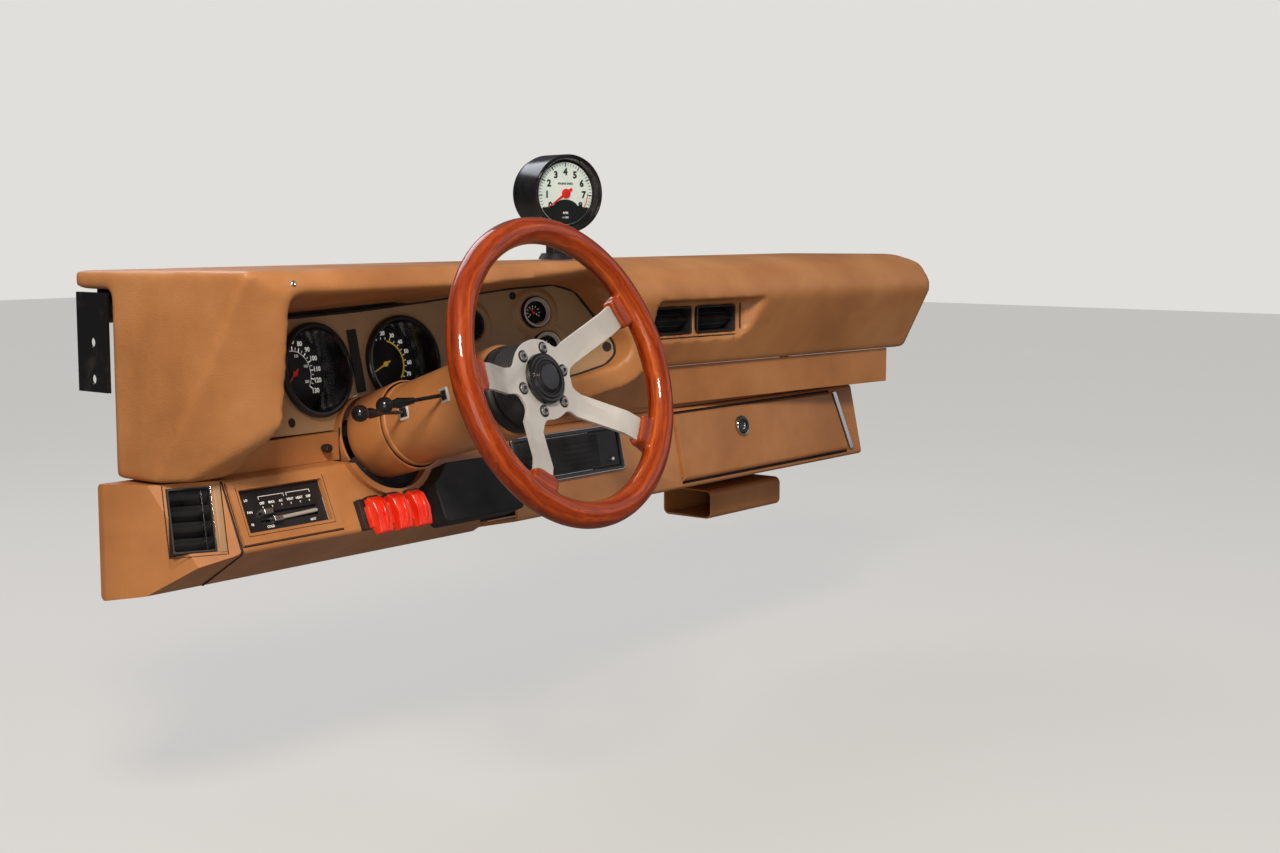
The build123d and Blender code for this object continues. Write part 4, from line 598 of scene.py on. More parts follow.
def lacquered_mahogany():
    """Mahogany under thick gloss lacquer. The fibres run round the rim: the grain is noise over the
    place in the rim's section, which the attribute named fibre gives, pushed about by slow noise over
    the place on it."""
    material, tree, base, place = finish_named(
        "lacquered_mahogany", Roughness=0.45, Specular_IOR_Level=0.15, Coat_Weight=1.0, Coat_Roughness=0.03,
        Coat_IOR=1.38)
    section = add(tree, "ShaderNodeAttribute", attribute_name="fibre").outputs["Vector"]
    drift = {0: noise(tree, place, 75, output="Color"), 1: (0.016, 0.016, 0.016)}
    pushed = add(tree, "ShaderNodeVectorMath", drift, operation="MULTIPLY").outputs[0]
    fibre = add(tree, "ShaderNodeVectorMath", {0: section, 1: pushed}, operation="ADD").outputs[0]
    bands = noise(tree, fibre, 8, 2, 0.5, 0.4)
    streaks = noise(tree, fibre, 1.3, 4, 0.7)
    flecks = noise(tree, fibre, 0.6, 3, 0.7)
    colour = ramp(tree, bands, (0.28, "#6A1E05"), (0.45, "#93330A"), (0.60, "#AE460E"), (0.76, "#C65F1B"))
    colour = mixed(tree, scaled(tree, streaks, 0, 0.62, 0.52, 0.70), colour, "#3E0F03")
    feed(base, Base_Color=mixed(tree, scaled(tree, flecks, 0, 0.4, 0.6, 0.74), colour, "#D9782A"))
    raised(base, streaks, 0.03, 0.3)
    return material


def black_enamel():
    """Steelwork in black stoving enamel: semi-gloss, with an orange-peel skin and dust."""
    material, tree, base, place = finish_named("black_stoving_enamel")
    dust = scaled(tree, noise(tree, place, 35, 5, 0.7), 0, 0.5, 0.5, 0.8)
    feed(base, Base_Color=mixed(tree, dust, "#18181A", "#4A4640"),
         Roughness=scaled(tree, dust, 0.32, 0.6, 0, 0.5))
    raised(base, noise(tree, place, 4), 0.06)
    return material


def turned_steel():
    """Turned steel shaft: fine rings round it and a thin film of oil."""
    material, tree, base, place = finish_named("turned_steel", Metallic=1.0)
    shaft_place = {"Vector": place, "Rotation": (RAKE, 0, 0), "Scale": (0.02, 1, 0.02)}
    along = add(tree, "ShaderNodeMapping", shaft_place).outputs["Vector"]
    grooves = noise(tree, along, 1.2, 3, 0.7)
    feed(base, Base_Color=ramp(tree, grooves, (0.3, "#77777A"), (0.7, "#A6A6A8")),
         Roughness=scaled(tree, grooves, 0.25, 0.42))
    raised(base, grooves, 0.02)
    return material


def boot_rubber():
    """Moulded rubber over the hub: dull black with a fine pattern of dots, drawn 2.5 mm apart."""
    material, tree, base, place = finish_named("moulded_rubber")
    cells = add(tree, "ShaderNodeTexVoronoi", {"Vector": place, "Scale": 1 / (2.5 * MM), "Randomness": 0.15})
    dots = scaled(tree, cells.outputs["Distance"], 0, 1, 0.1, 0.45)
    feed(base, Base_Color=mixed(tree, dots, "#0E0E0F", "#242426"),
         Roughness=scaled(tree, noise(tree, place, 20), 0.5, 0.7))
    raised(base, dots, 0.3)
    return material


def printed(name, colour, painted_emission=0.0):
    """Screen-printed ink on a dial: flat and slightly uneven, with painted light: it gives off a little light
    of its own, though no lamp lights it from behind.
    """
    colour = linear(colour)
    material, tree, base, place = finish_named(
        name, Roughness=0.45, Emission_Color=colour, Emission_Strength=painted_emission)
    shade = {"Color": colour, "Value": scaled(tree, noise(tree, place, 5, 3), 0.9, 1.05, 0.3, 0.7)}
    feed(base, Base_Color=add(tree, "ShaderNodeHueSaturation", shade).outputs["Color"])
    return material


def dial_lens():
    """Clear acrylic lens: black and mostly see-through, so that what shows of it is its reflection."""
    material, tree, base, place = finish_named(
        "clear_acrylic", Base_Color=(0.0, 0.0, 0.0, 1.0), IOR=1.5, Alpha=0.07)
    feed(base, Roughness=scaled(tree, noise(tree, place, 25, 3), 0.03, 0.12))
    return material


def tach_paper():
    """Printed tachometer face: pale green white with a faint mottle, and painted light: it gives off a little
    light of its own, though no lamp lights it from behind.
    """
    # Painted light: the face emits light of its own.
    material, tree, base, place = finish_named(
        "pale_dial_print", Roughness=0.5, Emission_Color=linear("#D9ECE6"), Emission_Strength=0.25)
    feed(base, Base_Color=ramp(tree, noise(tree, place, 25, 3), (0.3, "#D5E8E0"), (0.7, "#EBF5EF")))
    return material


VINYL = vinyl_skin()
PANEL = moulded_vinyl()
ENAMEL = column_enamel()
DIAMOND = diamond_plate()
POD = moulded_surround()
BLACK = black_abs("moulded_black_abs", "#141416", 0.42, 2.0, 0.04)
GLOSS = black_abs("polished_black_abs", "#0B0B0C", 0.16, 12.0, 0.01)
LEATHERETTE = black_abs("black_leatherette", "#101011", 0.62, 1.6, 0.22)
DARK = black_abs("dark_recess", "#060607", 0.7, 3.0, 0.05)
# Painted shade: a near-black, rough finish for sheets that stand for the shade behind the gaps.
PAINTED_SHADE_BLACK = black_abs("painted_shade_black", "#0A0A0A", 0.95, 2.5, 0.3)
RED = red_abs()
CHROME = plated("chrome_plate", "#C4C6C8", 0.09, 14.0)
ZINC = plated("zinc_plated_steel", "#8E8E8C", 0.3, 3.0)
SPOKE = blasted_aluminium()
WOOD = lacquered_mahogany()
STEEL = black_enamel()
SHAFT = turned_steel()
RUBBER = boot_rubber()
# Painted light on the white, yellow and red inks: they give off light of their own though no lamp is behind
# them.
WHITE_INK = printed("white_ink", "#EDEDE6", 0.4)
YELLOW_INK = printed("yellow_ink", "#E0B030", 0.3)
RED_INK = printed("red_ink", "#E02A22", 0.15)
GREY_INK = printed("dark_ink", "#1C2422")
LENS = dial_lens()
TACH_FACE = tach_paper()


SCREW_RADIUS = 3.6


def screw(face, across, up, level=0.0):
    """Trim screw: a low dome with a round recess in its middle."""
    dome = ((1.0, -1.0), (1.0, 0.4), (0.8, 1.2), (0.45, 1.5), (0.2, 0.6), (0.0, 0.5))
    profile = [(SCREW_RADIUS * share, level + height) for share, height in dome]
    return turned(moved(face, across, up), profile, 24, 0.3)


# Front of the passenger's pad at its left end, in Y and Z, from below the vents up to its top
FACE_RUN = np.array(((-200, -46), (-216, -12), (-192, 22), (-145, 35), (-100, 36)), float)
# The brow runs out into it from this X over this length, and nothing past the last X is moved
RUN_OUT_START, RUN_OUT_LENGTH, RUN_OUT_STOP = -95.0, 105.0, 70.0
# The brow's foot in Z, and how far above it all of the run-out is reached
RUN_OUT_FOOT, RUN_OUT_RISE = -36.0, 24.0
PAD_VOXEL = 4.0


def run_out(thing):
    """The brow's last stretch drawn into the pad: each point moves toward the nearest place on the pad's
    own front section, by a share that eases from none at the left to all where the pad begins."""
    points = points_of(thing.data) / MM
    across, flat = points[:, 0], points[:, 1:].copy()
    flat[:, 0] += np.clip(across - VENT_ORIGIN[0], 0, None) * math.tan(SWEEP)
    nearest, target = np.full(len(flat), np.inf), flat.copy()
    for start, end in zip(FACE_RUN[:-1], FACE_RUN[1:]):
        along = end - start
        place = start + np.clip((flat - start) @ along / (along @ along), 0, 1)[:, None] * along
        distance = np.linalg.norm(flat - place, axis=1)
        closer = distance < nearest
        nearest[closer], target[closer] = distance[closer], place[closer]
    outside = flat[:, 0] < np.interp(flat[:, 1], FACE_RUN[:, 1], FACE_RUN[:, 0])
    ease = np.clip((across - RUN_OUT_START) / RUN_OUT_LENGTH, 0, 1)
    ease = ease**2 * (3 - 2 * ease) * np.clip((flat[:, 1] - RUN_OUT_FOOT) / RUN_OUT_RISE, 0, 1)
    points[:, 1:] += (ease * outside * (across < RUN_OUT_STOP))[:, None] * (target - flat)
    set_points(thing.data, points * MM)


def bell(place, centre, width):
    """Share that is one at the centre and dies away to both sides: exp(-((place - centre) / width)^2)."""
    return np.exp(-(((place - centre) / width) ** 2))


def pad():
    """Padded hood and pad: the solid in even 4 mm faces, with its edges relaxed to the roll of foam
    under a skin, its two screws and the seams of the tray beside the vents."""

    def held(points):
        """Held near the vents' recess, so that it keeps its corners."""
        across, up, out = ((points / MM - VENT[0]) @ VENT[1].T).T
        recess = (across > 50) & (across < 300) & (up > -90) & (up < -15) & (out < 60)
        return np.where(recess, 0.9, 0.0)

    def held_elsewhere(points):
        """Held but near the hood's wall at the door and where the brow ends over the gauge plate's lip."""
        across, height = points[:, 0] / MM, points[:, 2] / MM
        wall = 0.8 * bell(across, -604, 34)
        brow_end = bell(across, 44, 34) * (height > -24)
        return np.clip(1 - np.maximum(wall, brow_end) * (held(points) < 0.5), 0, 1)

    def held_from_brow(points):
        """Held but along the last stretch of the brow, which runs out into the pad's face."""
        across, height = points[:, 0] / MM, points[:, 2] / MM
        return 1 - bell(across, 10, 52) * np.clip((height + 40) / 24, 0, 1)

    skin = remeshed("dash_pad", "pad_skin", PAD_VOXEL, 9, held)
    relaxed(skin, 26, held_elsewhere)
    run_out(skin)
    relaxed(skin, 50, held_from_brow)
    dress(skin, "dashboard", "pad_vinyl", VINYL, "dash_pad")
    brow = face_at((-630.0, -290.0, 24.0), (1, 0, 0), (0, -1, 0.1))
    heads = [screw(brow, across, up, -4.0) for across, up in ((0, 0), (520, 3))]
    piece("pad_screws", heads, "bright_trim", ZINC)
    corner = (279, -76, 0.4)
    runs = (((279, -28, 0.4), 1.5), ((84, -76, 0.4), 1.3))
    seams = [rod(VENT, [start, corner], radius, 8) for start, radius in runs]
    piece("tray_seam", seams, "black_plastic", DARK)


# Outlines, clockwise: the gauge plate's from its lower left corner, and the glove box door's
PLATE_EDGE = (
    (-197, -74), (-197, 58), (-71, 61), (40, 65), (176, 73), (268, 79), (330, 79), (358, 68), (378, 34),
    (400, -6), (400, -22), (385, -34), (348, -42), (190, -62), (120, -74),
)
DOOR_EDGE = ((180, -104), (180, -7.5), (606, -7.5), (632, -104))


def grown(outline, amount):
    """Closed outline, clockwise, with each point moved outwards along the mean of its two sides'
    normals."""
    outline = np.asarray(outline, float)
    sides = np.roll(outline, -1, 0) - outline
    sides /= np.linalg.norm(sides, axis=1, keepdims=True)
    normals = np.stack([-sides[:, 1], sides[:, 0]], -1)
    bisector = normals + np.roll(normals, 1, 0)
    return outline + amount * 2 * bisector / (np.linalg.norm(bisector, axis=1, keepdims=True) ** 2)


def even(outline, step):
    """Closed outline made anew, with its points about a step apart."""
    closed = np.vstack([outline, outline[:1]])
    length = np.concatenate([[0], np.cumsum(np.linalg.norm(np.diff(closed, axis=0), axis=1))])
    places = np.linspace(0, length[-1], max(8, int(length[-1] / step)), endpoint=False)
    return np.stack([np.interp(places, length, column) for column in closed.T], -1)


# Black sheets of painted shade, square to the car: left, foot, right and top, and how far they lie toward the
# driver
SHADE_SHEETS = (
    (-618, -236, -425, -140, 112), (-224, -289, -135, -236, 168), (-105, -196, 70, -122, 146),
    (-235, -206, -100, -167, 146), (0, -60, 60, 14, 185),
)


def backing():
    """Painted shade: near-black sheets and rings put in and behind the gaps, where there is only shade, which
    also keep the light out: a band round the gauge plate, wider at its left end, sheets behind the panels, a
    ring under the column and a ring behind the gap round the glove box door."""
    inner = even(PLATE_EDGE, 6.0)
    outer = grown(inner, 9.0)
    outer[:, 0] -= 20.0 * (outer[:, 0] < -198)
    band = on_plate_grid(np.stack([grown(inner, -4.0), outer]), -3.6)
    shade_shells = [lattice(put(PLATE, band), wrap_columns=True)]
    for left, foot, right, top, level in SHADE_SHEETS:
        sheet = at_level([[(left, foot), (right, foot)], [(left, top), (right, top)]], level)
        shade_shells.append(lattice(put(ROW, sheet)))
    angle = np.radians(np.linspace(-157, -23, 40))
    ring = at_level([circle(radius, angle) for radius in (52.0, 76.0)], -303.0)
    shade_shells.append(lattice(put(WHEEL, ring)))
    # Painted shade in the gaps round the plate, behind the panels and under the column.
    piece("painted_shade_backing", shade_shells, "black_plastic", PAINTED_SHADE_BLACK)
    # Painted shade: a black ring behind the gap round the glove box door.
    door = even(DOOR_EDGE, 10.0)
    seal = at_level([grown(door, amount) for amount in (0.6, 9.0)], -4.5)
    piece("door_gap_painted_shade", [lattice(put(GLOVE, seal), wrap_columns=True)], "black_plastic", DARK)


def panels():
    """Rigid tan panels: each solid with its edges rolled over by its own width, and the seams between
    them."""
    for node, width in (
        ("lower_strip", 1.5), ("lower_panel", 1.6), ("glove_panel", 1.6), ("end_piece", 3.0),
        ("fascia_strip", 1.5), ("floor_duct", 1.5),
    ):
        rolled(node, f"{node}_shell", width, "panel_vinyl", PANEL)
    rolled("glove_door", "glove_door_shell", 2.0, "panel_vinyl", PANEL, body="glove_door")
    end_seam = [(-620.3, -193, 153.0), (-620.3, -266.5, 185.9), (-620.3, -269.6, 184), (-620.3, -311, 118)]
    lines = [rod(ROW, end_seam, 1.5, 8)]
    # Round the vent at the door, the heater control's field and its frame: left, start, right and end
    for face, left, start, right, end, radius in (
        (moved(END, out=0.1), 2.0, 1.5, 64.5, 80.5, 0.6),
        (moved(LOWER, out=0.1), -618, -4, -471.5, -76.5, 0.7),
        (moved(LOWER, out=3.0), -608, -10, -482, -66.6, 0.4),
    ):
        corners = [(left, start), (left, end), (right, end), (right, start)]
        lines.append(rod(face, at_level(corners, 0), radius, 8))
    lines.append(rod(ROW, [(-424, -154, 129.0), (-423, -192, 129.0)], 1.1, 8))
    piece("panel_seams", lines, "black_plastic", DARK)
    strip = block(moved(END, 6.8, 41), (0, 0), (8.0, 74), 0.8, -1, 1.4, 0.6)
    piece("end_vent_strip", [strip], "panel_vinyl", POD)


# Places of the gauges across and up the plate
LEFT_GAUGE, RIGHT_GAUGE = (-41.0, -2.0), (98.0, 0.0)
SMALL_GAUGES = ((206.0, 37.0), (302.0, 45.0), (311.0, -1.0))


def plate():
    """Gauge plate with its fine diamond texture, its black gasket and the tan dishes round the small
    gauges."""
    rolled("gauge_plate", "gauge_plate_sheet", 0.6, "gauge_plate", DIAMOND)
    outline = eased(PLATE_EDGE[1:], 14.0)
    steps = np.arange(0, len(outline) - 1, 0.25)
    line = np.stack([np.interp(steps, np.arange(len(outline)), column) for column in outline.T], -1)
    piece("plate_gasket", [rod(PLATE, on_plate_grid(line, 1.0), 1.9, 10)], "black_plastic", DARK)
    dish = [(21.2, 0.3), (21.4, 2.0), (23.0, 3.6), (26, 4.4), (29, 3.4), (32, 1.6), (35, 0.2), (21.2, 0.3)]
    dishes = [turned(on_plate(*place), dish, 64, 0.5) for place in SMALL_GAUGES]
    piece("gauge_dishes", dishes, "gauge_plate", POD)


def ticks(face, start, end, count, inner, outer, width, level):
    """Short printed lines round a dial, evenly spread from one angle to the other."""
    mark = [(inner, -width / 2), (outer, -width / 2), (outer, width / 2), (inner, width / 2)]
    angles = np.linspace(start, end, count)
    return [prism(moved(face, spin=angle), mark, level, level + INK) for angle in angles]


def arc(face, start, end, inner, outer, level):
    """Printed arc: a flat ring sector between two radii."""
    angle = np.radians(np.linspace(start, end, 40))[:, None]
    return lattice(put(face, at_level(circle(np.array([[inner, outer]]), angle), level)))


def numbers(face, values, start, end, radius, size, level, bold=0.02):
    """Upright numbers round a dial from one angle to the other."""
    places = circle(radius, np.radians(np.linspace(start, end, len(values))))
    return [word(face, str(value), place, size, level, bold) for value, place in zip(values, places)]


def pointer(face, angle, length, tail, width, level):
    """Pointer that tapers to its tip, with a round boss at its pivot."""
    half = width / 2
    blade = [(-tail, -half), (0, -half), (length, -0.3), (length, 0.3), (0, half), (-tail, half)]
    boss = [(0, level - 1), (width * 1.6, level - 1), (width * 1.6, level + 1.5), (0, level + 2)]
    return [prism(moved(face, spin=angle), blade, level, level + 0.6), turned(face, boss, 24, 0.5)]


DIAL_LEVEL = -33.3


def left_print(face):
    """Outer scale to 130 and inner scale to 200, over nearly three quarters of the dial, and a pointer."""
    start, end = 228, -35
    white = ticks(face, start, end, 27, 29.0, 32.0, 0.9, DIAL_LEVEL)
    white += ticks(face, start, end, 14, 27.5, 32.6, 1.3, DIAL_LEVEL)
    white.append(arc(face, start, end, 27.0, 27.7, DIAL_LEVEL + 0.1))
    white += numbers(face, range(0, 140, 10), start, end, 38.4, 8.0, DIAL_LEVEL, 0.04)
    white += numbers(face, range(0, 220, 40), 220, -28, 22.0, 4.6, DIAL_LEVEL)
    return white, pointer(face, 222, 26, 8, 2.0, DIAL_LEVEL + 2)


def right_print(face):
    """Scale to 80 over half of the dial, a coloured band inside it and a pointer."""
    start, end = 130, -45
    white = ticks(face, start, end, 15, 31.0, 33.6, 1.0, DIAL_LEVEL)
    white += numbers(face, range(0, 90, 10), start, end, 38.4, 7.0, DIAL_LEVEL, 0.04)
    band = arc(face, 75, -40, 28.4, 30.4, DIAL_LEVEL + 0.1)
    return white, [band, *pointer(face, 205, 24, 8, 2.0, DIAL_LEVEL + 2)]


def large_gauges():
    """Two large gauges: a rolled gloss bezel that narrows to a sunk black dial, its print, pointer and
    lens."""
    bezel = [(0, -34), (46.6, -34), (48.6, 6.5), (50, 9.2), (53, 10), (55.6, 8.4), (56.5, 5), (56.5, 2.4),
             (50, 2.4), (50, -50), (0, -50)]
    disc = [(0, -33.4), (46, -33.4), (46, -33.9), (0, -33.9)]
    glass = [(0, -4), (46, -4), (46.6, -3.2), (46, -2.6), (0, -1.6)]
    for node, place, print_of, ink in (
        ("gauge_left", LEFT_GAUGE, left_print, RED_INK),
        ("gauge_right", RIGHT_GAUGE, right_print, YELLOW_INK),
    ):
        face = on_plate(*place)
        white, colour = print_of(face)
        piece(f"{node}_case", [turned(face, bezel, 96, 0.8)], "gauge_black", GLOSS, node)
        piece(f"{node}_dial", [turned(face, disc)], "gauge_black", DARK)
        piece(f"{node}_print", white, "gauge_black", WHITE_INK)
        piece(f"{node}_pointer", colour, "gauge_black", ink)
        piece(f"{node}_lens", [turned(face, glass)], "gauge_black", LENS)


def small_gauges():
    """Three small gauges: black cups, two of them with a bright ring, each with its dial, pointer and
    lens."""
    cup = [(0, -5), (12, -5), (16.4, 2.5), (18, 5.4), (20, 5.6), (21, 3), (21, 0.8), (18, 0.8), (18, -42),
           (0, -42)]
    ring = [(15.2, 1.6), (17.4, 4.6), (18.6, 5.4), (19.2, 6.4), (17.6, 7.0), (14.8, 3.0), (15.2, 1.6)]
    glass = [(0, -1.2), (14, -1.2), (14.2, -0.8), (0, 0.2)]
    level = -4.9
    faces = [on_plate(*place) for place in SMALL_GAUGES]
    white, colour = [], []
    for number, face in enumerate(faces):
        white += ticks(face, 210, -30, 9, 7.6, 9.6, 0.5, level)
        white += numbers(face, (0, 4, 8), 205, -25, 5.2, 2.6, level)
        colour += pointer(face, 160 - 30 * number, 9, 2, 1.1, -4)
    cups = [turned(face, cup, 64, 0.6) for face in faces]
    piece("small_gauge_cups", cups, "gauge_black", GLOSS, "small_gauges")
    piece("small_gauge_rings", [turned(face, ring, 64) for face in faces[1:]], "bright_trim", SPOKE)
    piece("small_gauge_print", white, "gauge_black", WHITE_INK)
    piece("small_gauge_pointers", colour, "gauge_black", RED_INK)
    piece("small_gauge_lenses", [turned(face, glass, 48) for face in faces], "gauge_black", LENS)


def plate_holes():
    """Dark knob holes through the plate, and the strip of warning lamps."""
    holes = []
    for across, up, radius in ((274, 69, 4.0), (391, -10, 5.5), (-89, -60, 4.5)):
        rim = [(0, 0.6), (radius, 0.6), (radius + 1, 0.9), (radius + 1, -2), (0, -2)]
        holes.append(turned(on_plate(across, up), rim, 24, 0.3))
    piece("knob_holes", holes, "gauge_black", DARK)
    rolled("lamp_strip", "lamp_strip_cover", 0.8, "black_plastic", DARK)
    window = block(moved(on_plate(27, 5), spin=3.0), (0, 0), (9.0, 66), 1.0, 2.0, 2.9, 0.3)
    piece("lamp_windows", [window], "gauge_black", DARK)


# The tapered head: the station of its rear end, its length, its radius at the rear, and how much it loses
HEAD_REAR, HEAD_RUN, HEAD_RADIUS, HEAD_TAPER = 82.3, 167.7, 54.0, 6.0


def about_column(*stations):
    """Shell turned about the column from stations forward of the wheel and radii."""
    return turned(WHEEL, [(radius, -station) for station, radius in stations], 96)


def column():
    """Column: the tapered head with its lip, the shroud, the saddle's collar and the cover behind the
    wheel."""
    head = about_column(
        (250, 46.5), (246.5, 49.4), (243, 50.2), (240.5, 49.9), (239.5, 48.3), (200, 49.8), (120, 52.6),
        (92, 53.6), (86, 53.4), (83.2, 51.5), (HEAD_REAR, 48), (HEAD_REAR, SHAFT_BORE), (238, SHAFT_BORE),
        (280.8, 28.8), (280.8, 36.8), (270, 43.6), (258, 47.3), (250, 47.6))
    piece("head_shell", [head], "column_paint", ENAMEL, "column_head", body="tilt_head")
    shroud = about_column(
        (245, 52), (245, 53.6), (247, 54), (292, 52.2), (303, 51), (307.4, 47.5), (308, 44), (308, 32.3),
        (306, 32.3), (306, 46), (296, 49.5), (245, 52))
    piece("shroud_shell", [shroud], "column_paint", ENAMEL, "column_shroud")
    rolled("column_collar", "collar_shell", 1.2, "column_paint", ENAMEL)
    cover = about_column((71, SHAFT_BORE), (71, 42), (72, 45), (75, 49), (78, 50), (82, 50), (82, SHAFT_BORE))
    piece("cover_ring", [cover], "black_plastic", BLACK, "cover_disc", body="tilt_head")


# Each lever's height over the column's line, its station, and its knob's place across, up and forward
LEVERS = (
    ("turn_lever", 12.0, 136.0, (-132.0, 10.0, 150.0)),
    ("tilt_lever", 9.0, 206.0, (-132.0, 11.0, 190.0)),
)
KNOB_RADIUS = 9.6


def levers():
    """Levers: a straight tapered stem, a waist and a ball knob, on a square bezel at the head. The
    stem's radii are given at shares of its length, and the ball's run round half a circle."""
    stem = [(0.0, 2.4), (0.3, 2.2), (0.52, 2.2), (0.53, 3.6), (0.58, 3.9), (0.78, 6.2), (0.85, 4.6)]
    ball = np.radians(np.linspace(28, 180, 12))
    radii = [PIN_END, *(radius for _, radius in stem), *np.maximum(KNOB_RADIUS * np.sin(ball), PIN_END)]
    for node, up, station, tip in LEVERS:
        head = HEAD_RADIUS - HEAD_TAPER * (station - HEAD_REAR) / HEAD_RUN
        start = np.array([-math.sqrt(head**2 - up**2) - 0.6, up, -station])
        end = np.array([tip[0], tip[1], -tip[2]])
        along, length = unit(end - start), np.linalg.norm(end - start)
        path = [start - along, *(start + along * length * share for share, _ in stem)]
        path += [end - along * KNOB_RADIUS * math.cos(a) for a in ball]
        moulding = rod(WHEEL, path, radii, 24)
        piece(f"{node}_moulding", [moulding], "black_plastic", GLOSS, node, body="tilt_head")
        seat = face_at(WHEEL[0] + (start + along * 0.6) @ WHEEL[1], WHEEL[1][1], along @ WHEEL[1])
        bezel = block(seat, (0, 0), (17, 14), 1.5, -1.6, 1.0, 0.6)
        piece(f"{node}_bezel", [bezel], "bright_trim", SPOKE, body="tilt_head")
        seal = block(seat, (0, 0), (11, 9), 1.0, 0.6, 1.5, 0.3)
        piece(f"{node}_seal", [seal], "black_plastic", DARK, body="tilt_head")


def wheel_rim():
    """Wooden rim: the solid in even 2 mm faces, relaxed so that the spokes' blocks flow into the ring.
    Each point keeps its place in the ring's section, radius from the ring's line and height, for the
    grain to follow."""
    rim = remeshed("wheel_rim", "rim_wood", 2.0, 5)
    local = (points_of(rim.data) / MM - WHEEL[0]) @ WHEEL[1].T
    radius = np.hypot(local[:, 0], local[:, 1]) - RIM_RADIUS
    section = np.stack([radius, local[:, 2], 0 * radius], -1) * MM
    fibre = rim.data.attributes.new("fibre", "FLOAT_VECTOR", "POINT")
    fibre.data.foreach_set("vector", section.astype(np.float32).ravel())
    dress(rim, "steering_wheel", "rim_wood", WOOD, "wheel_rim")


def cap_screws():
    """Cap screws round the spokes' plate: a round head of 24 points, a six-sided socket whose corners
    take four of them each, its dark floor and a dark washer."""
    about = np.radians(np.arange(0, 360, 15))
    six = np.repeat(np.radians(np.arange(0, 360, 60)), 4)
    rims = ((5.4, 0), (5.4, 1.2), (5.0, 2.4), (4.0, 3.0))
    head = [at_level(circle(radius, about), level) for radius, level in rims]
    head += [at_level(circle(2.9, six), level) for level in (3.0, 1.0)]
    head.append(np.tile([0, 0, 1.0], (len(about), 1)))
    floor = [(0, 1.4), (2.6, 1.4), (2.6, 1.1), (0, 1.1)]
    washer = [(7.0, 0.05), (7.0, 0.5), (5.3, 0.7), (5.3, 0.05), (7.0, 0.05)]
    caps, sockets = [], []
    for number in range(SCREW_COUNT):
        place = circle(SCREW_CIRCLE / 2, math.radians(SCREW_START + 360 / SCREW_COUNT * number))
        seat = moved(WHEEL, *place, -DISH)
        caps.append(lattice(put(seat, np.array(head)), wrap_columns=True))
        sockets += [turned(seat, floor, 24), turned(seat, washer, 24)]
    piece("cap_screws", caps, "bright_trim", ZINC, body="steering_wheel")
    piece("screw_sockets", sockets, "black_plastic", DARK, body="steering_wheel")


def wheel_centre():
    """Spokes with rolled edges, their screws, the horn button, and the rubber boot, whose ribs stand on
    a bowed line: 47.2 - 6.6 ((67 - station) / 27)^2, less 0.9 at every other one."""
    rolled("wheel_plate", "spoke_plate", 0.9, "spoke_aluminium", SPOKE, body="steering_wheel", angle=35.0)
    cap_screws()
    button = [(0, 11.0), (14, 10.4), (16.4, 9.4), (17.2, 7.6), (18.2, 7.4), (20.5, 8.6), (22.5, 8.4),
              (23.4, 6.6), (24.4, 6.4), (26.4, 6.8), (28.6, 5.4), (29, 3.0), (29, 0.3), (0, 0.3)]
    horn = turned(moved(WHEEL, out=-DISH), button, 72, 0.5)
    piece("horn_button_cap", [horn], "black_plastic", GLOSS, "horn_button", body="steering_wheel")
    ribs = [(station, 47.2 - 6.6 * ((67 - station) / 27) ** 2 - 0.9 * (number % 2))
            for number, station in enumerate(np.linspace(40, 67, 19))]
    boot = about_column((38, SHAFT_BORE), (38, 37.5), *ribs, (69, 46.6), (70, 45), (70, SHAFT_BORE))
    piece("hub_boot_rubber", [boot], "boot_rubber", RUBBER, "hub_boot", body="steering_wheel")


def shafts():
    """Turned steel shafts."""
    rolled("steering_shaft", "steering_shaft_bar", 0.8, "shaft_steel", SHAFT, body="steering_wheel")
    rolled("lower_shaft", "lower_shaft_bar", 0.8, "shaft_steel", SHAFT, body="lower_shaft")


def steelwork():
    """Enamelled steelwork behind the pad."""
    for node, width in (
        ("cross_beam", 0.8), ("column_bracket", 1.0), ("panel_braces", 0.8), ("column_jacket", 0.8),
    ):
        rolled(node, f"{node}_steel", width, "black_steel", STEEL)


def heater_control():
    """Heater control: black face with printed words and marks, two slider knobs, and a bar in pale metal whose
    colour is a painted reflection: it stands for the bright streak along a glossy black bar.
    """
    rolled("climate_control", "control_face", 0.5, "black_plastic", BLACK)
    face = moved(LOWER, -605.0, -63.0, -4.0)

    def mark(across, up, width, height):
        """A printed line."""
        return block(face, (across, up), (width, height), 0.1, 0, 0.2, 0.05)

    white = []
    for number, text in enumerate(("OFF", "MAX", "AC", "VENT", "HEAT", "DEF")):
        across = 33 + 13.5 * number
        white += [word(face, text, (across, 32.2), 4.0, bold=0.025), mark(across, 27.6, 0.7, 2.0)]
    for start, end in ((30, 66), (70, 104)):
        white.append(mark((start + end) / 2, 40.2, end - start, 0.6))
        white += [mark(across, 38.6, 0.6, 3.6) for across in (start, end)]
    for text, across, up in (
        ("LO", 12, 38), ("HI", 12, 10), ("FAN", 13, 24), ("COLD", 36, 5), ("HOT", 98, 5),
    ):
        white.append(word(face, text, (across, up), 3.8, bold=0.025))
    piece("control_marks", white, "black_plastic", WHITE_INK)
    places = ((34.0, 21.5), (45.0, 12.0))
    knobs = [block(face, place, (14.0, 8.0), 1.2, -1, 7.0, 1.2, 0.8) for place in places]
    piece("slider_knobs", knobs, "bright_trim", ZINC)
    # Painted reflection: the bar is pale metal to stand for the streak of light along a glossy black bar.
    path = [(50, 12.4, 2.6), (50.1, 12.4, 2.6), (103.9, 14.6, 2.6), (104, 14.6, 2.6)]
    piece("slider_bar_painted_reflection", [rod(face, path, [PIN_END, 2.2, 2.2, PIN_END])], "bright_trim", SPOKE)


SWITCH_MIDDLE, SWITCH_PITCH = -396.0, 32.0


